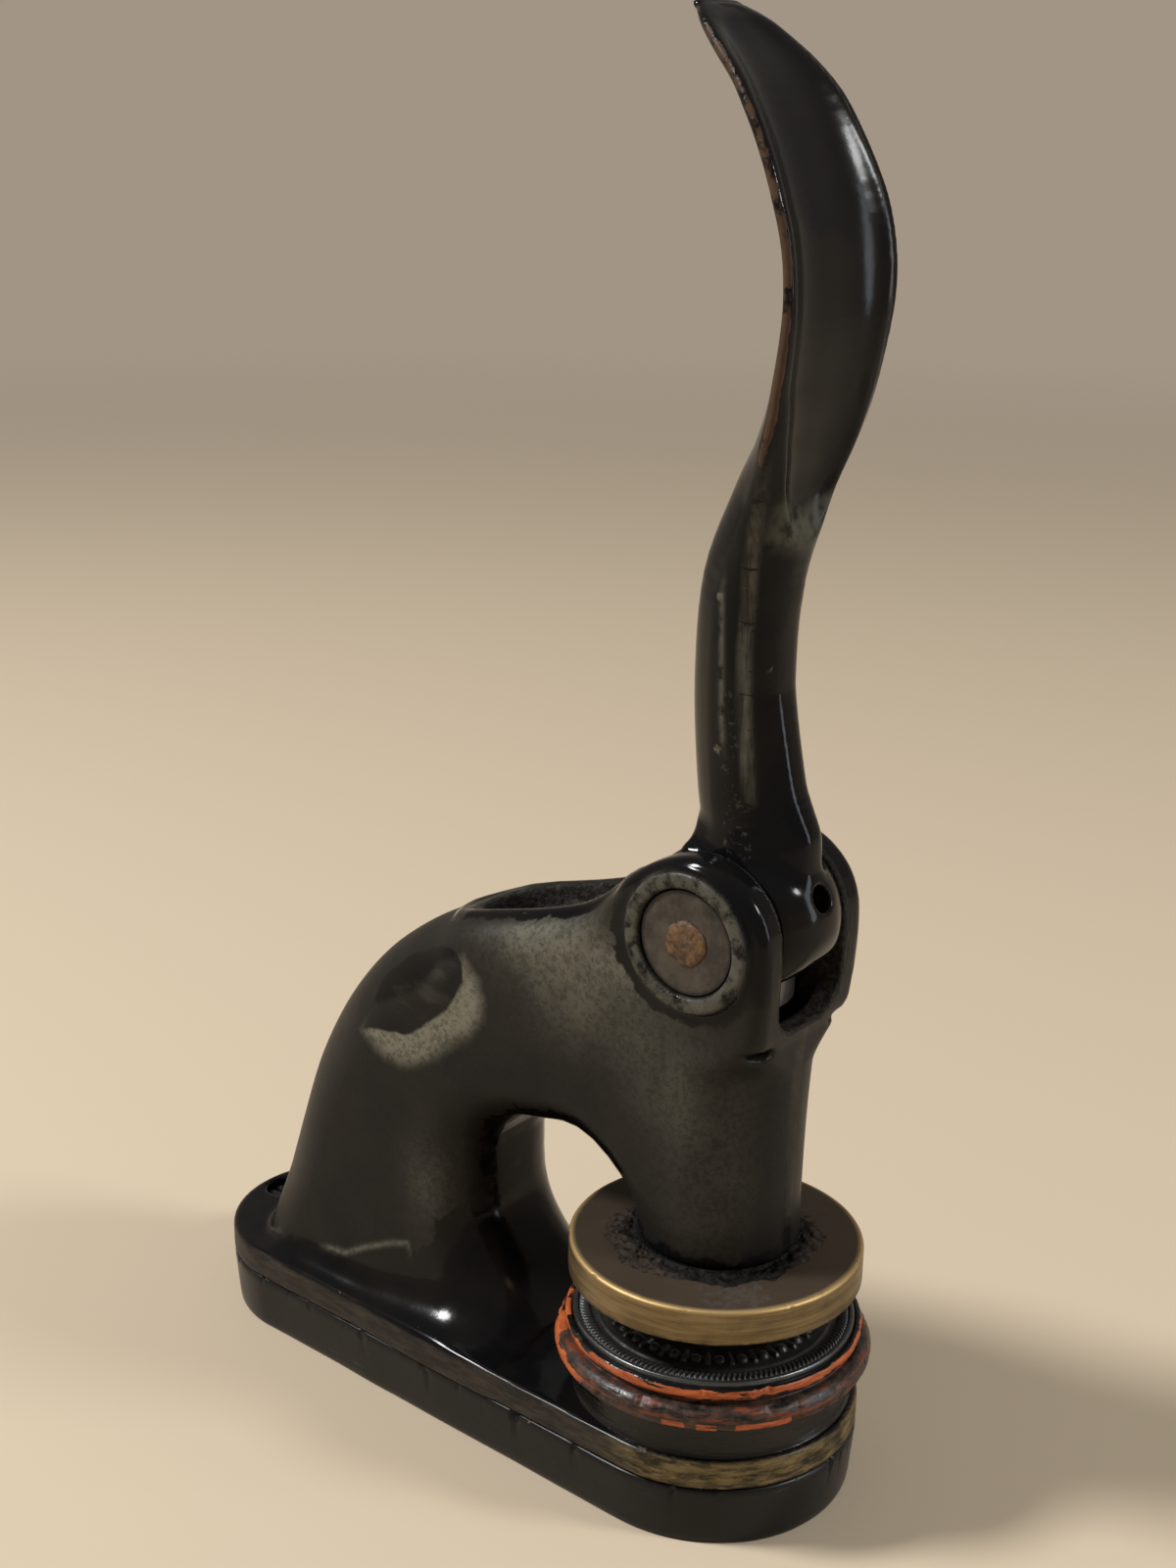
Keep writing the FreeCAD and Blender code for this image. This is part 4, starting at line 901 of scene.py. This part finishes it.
# Lever: a malleable-iron casting. Its hub is a cam that bears on the tappet, its stem has a soft arris
# down each side, and the blade at the top is dished like a spoon for the palm. The tables give its sizes
# at heights above the pivot: half width, how far it stands before and behind its spine, and the dish.
SPINE = [(-3.2, 3), (-1.8, 11), (-0.3, 20), (0.6, 34.3), (-0.2, 48.6), (-4.4, 60.4), (-8.05, 68.6),
         (-10.3, 76.7), (-11.85, 88.6), (-9.8, 99.4), (-3.3, 111.8), (4.2, 119.2), (8.6, 122.42)]
STEM_HEIGHTS = [-4, 5, 12.5, 19.6, 34.6, 48.6, 60.6, 68.6, 76.6, 88.6, 99.6, 111.6, 117, 120.4, 122, 122.9]
STEM_HALF = [7.1, 7.1, 7.1, 7.1, 7.1, 7.1, 8.6, 11.4, 12.35, 12.95, 13.0, 11.6, 9.9, 7.9, 6.0, 3.6]
STEM_FRONT = [9.0, 9.6, 10.6, 8.8, 6.9, 6.8, 5.1, 2.9, 1.1, 0.5, 0.5, 0.5, 0.5, 0.4, 0.3, 0.2]
STEM_BACK = [7, 7, 6.8, 7.1, 7.3, 7.2, 6.3, 4.9, 3.9, 3.7, 3.7, 3.3, 2.6, 1.8, 1.2, 0.6]
DISH_HEIGHTS = [56.8, 58.5, 61, 65, 70, 76.6, 88.6, 99.6, 111.6, 117, 120.4, 121.8]
DISH_HALF = [0.6, 3.9, 5.8, 8.1, 10.2, 11.35, 11.95, 12.0, 10.6, 8.8, 6.4, 0.8]
DISH_FLOOR = [6.6, 4.6, 2.6, 1.0, -0.2, -0.9, -1.6, -1.6, -1.0, -0.4, 0.2, 1.0]
TIP_HEIGHT, TIP_RADIUS = 122.2, 1.0
EDGE_HALF = 0.55
HUB_HALF = 7.5
BALL = (-4.75, 92.5)
BALL_RADIUS = 12.2
BORE_RADIUS = 3.1
SET_SCREW_ANGLE, SET_SCREW_RADIUS = math.radians(24), 1.95
SWING = math.radians(65)
CAM_RISE = 6.1 / SWING
CAM_BASE = 7.6
FACE_POINTS = 9
spine = np.array(through(SPINE, 6)) + np.array(PIVOT)


def eased_table(heights, values):
    """A table of sizes up the lever as a fine, smoothed one, with its slope."""
    fine = np.arange(heights[0] - 12, heights[-1] + 12, 0.25)
    flat = np.interp(fine, heights, values)
    window = np.hanning(15)
    smooth = np.convolve(flat, window / window.sum(), "same")
    return fine, smooth, np.gradient(smooth, fine)


def hub_outline():
    """The cam's involute face, the hub's front up to the stem, and the heel at the back."""
    face = []
    for i in range(FACE_POINTS):
        turn = SWING * i / (FACE_POINTS - 1)
        drop = CAM_BASE + CAM_RISE * turn
        y = PIVOT[0] - CAM_RISE * math.cos(turn) - drop * math.sin(turn)
        face.append((y, PIVOT[1] - drop * math.cos(turn) + CAM_RISE * math.sin(turn)))
    front = [(-15.4, 0.5), (-15.4, 14), (5.0, 14), (6.2, 10.5), (10.2, 7.4), (13, 4.6), (7.6, 4.2)]
    heel = np.linspace(0, math.pi / 2, FACE_POINTS)
    below = [(CAM_BASE * math.cos(a), -CAM_BASE * math.sin(a)) for a in heel]
    return face + [(PIVOT[0] + y, PIVOT[1] + z) for y, z in front + below]


HUB_SIDE = hub_outline()
HALF_TABLE = eased_table(STEM_HEIGHTS, STEM_HALF)
FRONT_TABLE = eased_table(STEM_HEIGHTS, STEM_FRONT)
BACK_TABLE = eased_table(STEM_HEIGHTS, STEM_BACK)
DISH_TABLE = eased_table(DISH_HEIGHTS, DISH_HALF)
FLOOR_TABLE = eased_table(DISH_HEIGHTS, DISH_FLOOR)


def spine_place(y, z):
    """Height up the spine above the pivot, and how far forward of it a point of the side view is."""
    near = np.full(np.broadcast(y, z).shape, 1e6)
    height = np.zeros(near.shape)
    forward = np.zeros(near.shape)
    for a, b in zip(spine, spine[1:]):
        e = b - a
        length = math.hypot(*e)
        along = np.clip(((y - a[0]) * e[0] + (z - a[1]) * e[1]) / length**2, 0, 1)
        away = np.hypot(y - a[0] - along * e[0], z - a[1] - along * e[1])
        closer = away < near
        near = np.where(closer, away, near)
        height = np.where(closer, a[1] + along * e[1] - PIVOT[1], height)
        forward = np.where(closer, (-(y - a[0]) * e[1] + (z - a[1]) * e[0]) / length, forward)
    return height, forward


def stem_distance(x, y, z):
    """The stem and the blade, with the dish cut in its front."""
    height, forward = spine_place(y, z)
    tables = (HALF_TABLE, FRONT_TABLE, BACK_TABLE, DISH_TABLE, FLOOR_TABLE)
    half, front, back, dish_half, floor_level = (np.interp(height, table[0], table[1]) for table in tables)
    flare = np.interp(height, HALF_TABLE[0], HALF_TABLE[2])
    blade = ease(height, 55, 74)
    edge = mix(0.0, EDGE_HALF, blade)
    share = np.clip(np.abs(x) / half, 0, 1.6)
    power = mix(2.7, 2.4, blade)
    slope = power * share**(power - 1) / half
    ahead = (forward - edge - front * (1 - share**power)) / np.sqrt(1 + (front * slope)**2)
    behind = (-forward - edge - back * (1 - share**power)) / np.sqrt(1 + (back * slope)**2)
    stem = meet(ahead, behind, mix(1.6, 0.5, blade))
    side = (np.abs(x) - half) / np.sqrt(1 + flare**2)
    stem = meet(stem, np.where(blade > 0, side, -5.0), 0.55)
    tip = np.hypot(y - spine[-1][0], z - spine[-1][1]) - TIP_RADIUS
    stem = np.where(height > TIP_HEIGHT, meet(stem, tip, 0.5), stem)
    rim_level = np.maximum(front + edge, floor_level + 0.2)
    bowl = floor_level + (rim_level - floor_level) * (np.abs(x) / dish_half)**3.4
    in_dish = (height > DISH_HEIGHTS[0] + 0.1) & (height < DISH_HEIGHTS[-1] + 0.1)
    return cut(stem, np.where(in_dish, (bowl - forward) * 0.7, 2.0), 0.5)


def lever_distance(x, y, z):
    hub = meet(outline_distance(HUB_SIDE, y, z), np.abs(x) - HUB_HALF, 1.6)
    ball = np.sqrt(x**2 + (y - BALL[0])**2 + (z - BALL[1])**2) - BALL_RADIUS
    hub = meet(hub, np.where(y < BALL[0], ball, np.hypot(x, z - BALL[1]) - BALL_RADIUS), 0.8)
    stem = np.maximum(stem_distance(x, y, z), PIVOT[1] + 2 - z)
    lever = join(stem, hub, mix(1.0, 4.5, ease(z - PIVOT[1], 9, 16)))
    lever = np.maximum(lever, np.where(z < PIVOT[1] + 13, np.abs(x) - HUB_HALF, -9))
    forward, upward = -math.cos(SET_SCREW_ANGLE), math.sin(SET_SCREW_ANGLE)
    outward = (y - PIVOT[0]) * forward + (z - PIVOT[1]) * upward
    aside = np.hypot(x, (y - PIVOT[0]) * upward - (z - PIVOT[1]) * forward)
    hole = np.maximum(aside - SET_SCREW_RADIUS, -outward)
    return cut(cut(lever, pivot_distance(y, z) - BORE_RADIUS, 0.1), hole, 0.35)


points, quads = drawn_round(lever_distance, (0, -19, 76), (13, 13, 215.5), 0.33)
lever = new_piece("lever_casting", points, quads)
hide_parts("lever")
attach(lever, "lever_arm")

# The lever's japan has rubbed off along the blade's rim. Its arrises are worn to a pale stripe along RIDGE,
# a fine scratch follows SEAM behind each, and CHIPS are (x, y, z, size).
RIDGE = [(11.4, -11.7, 161.8), (10.5, -10.2, 157.9), (8.6, -8.7, 153.7), (7.4, -7.2, 149.2),
         (6.4, -5.9, 143.5), (5.6, -5.2, 137.8), (5.6, -4.9, 132.2), (5.6, -5.1, 126.6), (5.6, -5.3, 122.6),
         (5.6, -6.2, 114.6), (5.5, -6.8, 111)]
SEAM = [(9.5, -7.6, 156.7), (7.4, -4.2, 150.3), (7.1, -2.8, 145.5), (6.5, -1.6, 139.7), (6.6, -1.9, 130.2),
        (6.5, -2.2, 122.2), (6.6, -3.1, 114.2)]
CHIPS = [(-3.3, -7.9, 129.4, 0.8), (-6.5, -1.3, 139.1, 1.2), (-6.6, -1.7, 117.8, 1.1),
         (-3.9, -10.4, 147.6, 0.7)]
LEVER_BARE = (0.036, 0.029, 0.023)
places, normals = vertex_places(lever)
x, y, z = places.T
height, forward = spine_place(y, z)
share = np.abs(x) / np.interp(height, HALF_TABLE[0], HALF_TABLE[1])
near_side = np.where(x < 0, 1.0, 0.35)
rim = ease(share, 0.92, 0.985) * ease(height, 60, 66) * ease(forward, -1.6, -0.4)
bare = np.exp(-((height - 78) / 6)**2) + 0.7 * np.exp(-((height - 92) / 3)**2)
hollow = ease(height, 60, 66) * (1 - ease(height, 117, 121)) * (normals[:, 1] < -0.2)
from_ridge = capsule_distance(np.abs(x), y, z, RIDGE, 0.35)
ridge = (1 - ease(from_ridge, 0, 1.15)) * ease(height, 15, 27)
ridge = ridge * (1 - 0.75 * ease(height, 56, 66)) * (1 - ease(height, 66, 71))
seam = np.exp(-(capsule_distance(np.abs(x), y, z, SEAM, 0.0) / 0.42)**2)
seam = seam * ease(height, 24, 30) * (1 - ease(height, 46, 52))
behind = (np.abs(x) > 5.5) & (from_ridge > 0.6) & (forward > 0) & (forward < 4)
# The lip at the dish's lower end, where an olive-grey painted highlight lies on its inner face.
lip = (1 - ease(np.abs(height - 60.0), 1.5, 5)) * ease(forward, 1.5, 4) * (1 - ease(share, 0.75, 0.95))
chips = [np.exp(-((x - cx)**2 + (y - cy)**2 + (z - cz)**2) / size**2) for cx, cy, cz, size in CHIPS]
add_masks(lever,
          edge=rim * (0.3 + 0.35 * bare) + np.where(x < 0, 0.2, 0.08) * rim * ease(height, 62, 70),
          dish=hollow * (1 - ease(share, 0.865, 0.895)),
          # A thin pale stripe just inside the dish's right rim, a painted highlight on the rim's step.
          line=hollow * np.exp(-((share - 0.885) / 0.012)**2) * (x > 0) * 0.7,
          ridge=ridge * near_side,
          seam=seam * near_side,
          speckled=np.where(behind, ease(height, 7, 12) * (1 - ease(height, 32, 40)), 0),
          chip=sum(chips),
          lip=lip)

start_material("japanned_lever")
colour, roughness, normal = japan(times(mask("dish"), 0.22), mask("edge"), 0.0, (0.06, 0.16), LEVER_BARE)
cloudy = step(grain(9, 4, (1, 1, 0.5), 98), 0.3, 0.7)
colour = paint(times(mask("dish"), level(cloudy, 0.3, 0.9)), colour, (0.0085, 0.0075, 0.0070))
# A thin pale line inside the dish's right rim: a painted highlight on the rim's step.
colour = paint(mask("line"), colour, (0.07, 0.063, 0.055))
crack = step(grain(1.6, 5, (0.45, 0.45, 2.4), 99), 0.62, 0.65)
streaks = level(step(grain(1.3, 5, (1.4, 1.4, 0.12), 106), 0.35, 0.62), 0.3, 1.0)
pale = times(times(mask("ridge"), streaks), step(grain(3.5, 6, seed=100), 0.22, 0.45))
pale = times(pale, sum_of(1.0, times(crack, 0.85), "SUBTRACT"))
fleck = step(grain(0.9, 5, seed=103, rough=0.7), 0.56, 0.63)
pale = most(pale, times(mask("speckled"), times(fleck, 0.45)))
pale = most(pale, times(mask("seam"), step(grain(2, 5, seed=104), 0.35, 0.55)))
worn = paint(grain(1.1, 5, seed=101), (0.05, 0.047, 0.038), (0.17, 0.16, 0.13))
colour = paint(times(pale, 0.75), colour, worn)
# Olive-grey painted highlight on the lip at the dish's lower end.
painted_lip_highlight = times(mask("lip"), step(grain(2.4, 5, seed=102), 0.3, 0.6))
colour = paint(times(painted_lip_highlight, 0.6), colour, (0.10, 0.095, 0.068))
chip = step(sum_of(times(mask("chip"), 0.5), grain(0.6, 5, seed=105, rough=0.7)), 0.86, 0.94)
colour = paint(chip, colour, (0.10, 0.085, 0.065))
roughness = level(most(pale, painted_lip_highlight), roughness, 0.45)
normal = bump(times(crack, mask("ridge")), -0.1, normal)
lever.data.materials.append(finish_material(colour, roughness, normal, specular=JAPAN_SHEEN))


# Pivot: a steel pin through both cheeks and the hub, riveted over a washer in the seat of each cheek.
# Washers and pin have gone brown and grey with rust. A set-screw in the hub's front keeps the pin still.
PIN_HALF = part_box("pivot_pin")[1][0] / MM
PIN_HEAD = [(0.5, 0), (1.7, 0.02), (2.7, 0.1), (3.25, 0.26), (3.4, 0.42)]
PIN_HEAD += [(BORE_RADIUS, 0.56), (BORE_RADIUS, 1.3), (BORE_RADIUS, 2.5)]
SHADED_RIM_RADIUS = 7.3


def pin_wobble(points, radius, height, angle):
    end = ease(np.abs(height), 12.8, 13.3)
    hammered = 0.22 * ripple(points, 2.6, 110, 2) * end * ease(radius, 1, 2.5)
    return hammered, -np.sign(height) * 0.16 * np.abs(ripple(points, 1.7, 111, 2)) * end


profile = [(radius, -PIN_HALF + inset) for radius, inset in PIN_HEAD]
profile += [(radius, PIN_HALF - inset) for radius, inset in PIN_HEAD[::-1]]
pin = turned_piece("riveted_pin", profile, pin_wobble, 96, closed=False)
lay_across = Matrix(((0, 0, 1, 0), (0, -1, 0, PIVOT[0] * MM), (1, 0, 0, PIVOT[1] * MM), (0, 0, 0, 1)))
pin.data.transform(lay_across)
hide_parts("pivot_pin")
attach(pin, "lever_arm")

start_material("rusted_rivet")
rust = grain(1.2, 7, seed=112, rough=0.65)
colour = paint(step(rust, 0.35, 0.65), (0.045, 0.026, 0.014), (0.17, 0.088, 0.034))
colour = paint(step(grain(1.4, 5, seed=113), 0.60, 0.7), colour, (0.07, 0.06, 0.05))
rusted = finish_material(colour, level(rust, 0.3, 0.6), bump(rust, 0.35), level(rust, 0.35, 0.05))
pin.data.materials.append(rusted)
dress(["hub_set_screw"], rusted)

start_material("stained_washer")
stain = grain(2.8, 7, seed=114, rough=0.65)
colour = paint(step(stain, 0.3, 0.7), (0.026, 0.022, 0.019), (0.075, 0.062, 0.048))
speck = step(grain(0.8, 5, seed=115), 0.66, 0.72)
colour = paint(speck, colour, paint(grain(1, seed=116), (0.02, 0.015, 0.012), (0.13, 0.11, 0.085)))
off_y = sum_of(coordinate("Y"), PIVOT[0], "SUBTRACT")
off_z = sum_of(coordinate("Z"), PIVOT[1], "SUBTRACT")
from_pin = sum_of(sum_of(times(off_y, off_y), times(off_z, off_z)), 0.5, "POWER")
# Near its outer edge the washer is painted near-black, a painted shade in the corner of its seat, and is
# bumped a little lower.
shaded_rim = sum_of(from_pin, times(grain(1.5, 5, seed=117), 0.8))
colour = paint(step(shaded_rim, SHADED_RIM_RADIUS, SHADED_RIM_RADIUS + 0.6), colour, (0.010, 0.009, 0.008))
roughness = level(stain, 0.36, 0.6)
normal = bump(stain, 0.16)
normal = bump(step(shaded_rim, SHADED_RIM_RADIUS - 0.7, SHADED_RIM_RADIUS + 0.3), -0.1, normal)
stained = finish_material(colour, roughness, normal, level(stain, 0.5, 0.15))
dress(["pivot_washer_left", "pivot_washer_right"], stained)


# Plinth screws: a countersunk iron screw down through the rear of the flange, and two up from below the
# plinth under the die bed. Their slots are dark with dirt.
IRON_DARK, IRON_BRIGHT = (0.03, 0.028, 0.026), (0.09, 0.085, 0.08)
screw_iron = oiled_steel("dark_screw_iron", IRON_DARK, IRON_BRIGHT, (0.52, 0.66), (0.35, 0.55))
dress(["rear_plinth_screw", "front_plinth_screws"], screw_iron)


# Studio: a pale floor that curves up to a low backdrop all round, soft light from the sky, a lamp behind on
# the left, a weaker one in front, and a tall cool one in front on the right, as of a window.
FLOOR_COLOUR = (0.58, 0.48, 0.35)
WALL_COLOUR = (0.36, 0.30, 0.235)
SKY_COLOUR, SKY_STRENGTH = (0.6, 0.56, 0.5), 0.42
FLAT_RADIUS, CURVE_RADIUS = 1600, 1200
FLOOR_POINTS = 96
floor_profile = [(300, 0), (800, 0), (FLAT_RADIUS, 0)]
floor_profile += [(FLAT_RADIUS + CURVE_RADIUS * math.sin(a), CURVE_RADIUS * (1 - math.cos(a)))
                  for a in np.linspace(0.1, 1.1, 10)]
ways = [(math.cos(a), math.sin(a)) for a in np.linspace(0, 2 * math.pi, FLOOR_POINTS, endpoint=False)]
points = [(radius * x, radius * y, height) for radius, height in floor_profile for x, y in ways]
faces = ring_faces(len(floor_profile), FLOOR_POINTS) + [list(range(FLOOR_POINTS))]
floor = new_piece("floor", points, faces)

start_material("paper_floor")
shader.inputs["Base Color"].default_value = (*FLOOR_COLOUR, 1)
shader.inputs["Roughness"].default_value = 0.7
seen = wire("LightPath", out="Is Camera Ray")
for ray in ("Is Glossy Ray", "Is Transmission Ray"):
    seen = most(seen, wire("LightPath", out=ray))
away = wire("VectorMath", {0: wire("TexCoord", out="Object")}, out="Value", operation="LENGTH")
seen = times(seen, step(away, 0.5, 1.5))
wall = wire("Emission", {"Color": (*WALL_COLOUR, 1), "Strength": 1.0})
surface = wire("MixShader", {0: seen, 1: shader.outputs[0], 2: wall})
tree.links.new(surface, tree.nodes["Material Output"].inputs["Surface"])
floor.data.materials.append(material)

world = bpy.data.worlds.new("studio")
bpy.context.scene.world = world
world.use_nodes = True
sky = world.node_tree.nodes["Background"]
sky.inputs["Color"].default_value = (*SKY_COLOUR, 1)
sky.inputs["Strength"].default_value = SKY_STRENGTH
bpy.context.scene.view_settings.view_transform = "Standard"


def lamp(name, at, target, size, power, colour=(1, 1, 1), tall=None):
    """A soft lamp, round or as tall as it says, that points from its place to a target."""
    data = bpy.data.lights.new(name, "AREA")
    data.shape = "ELLIPSE" if tall else "DISK"
    data.size = size
    data.size_y = tall or size
    data.energy = power
    data.color = colour
    light = bpy.data.objects.new(name, data)
    light.location = at
    light.rotation_euler = (Vector(target) - Vector(at)).to_track_quat("-Z", "Y").to_euler()
    bpy.context.collection.objects.link(light)


lamp("key", (-0.5, 0.6, 0.9), (0, 0.03, 0.08), 0.24, 13)
lamp("fill", (0.3, -0.9, 0.8), (0, 0.03, 0.08), 0.24, 6)
lamp("window", (0.55, -1.1, 0.35), (0, 0.03, 0.12), 0.26, 2.6, (0.84, 0.91, 1.0), 0.8)
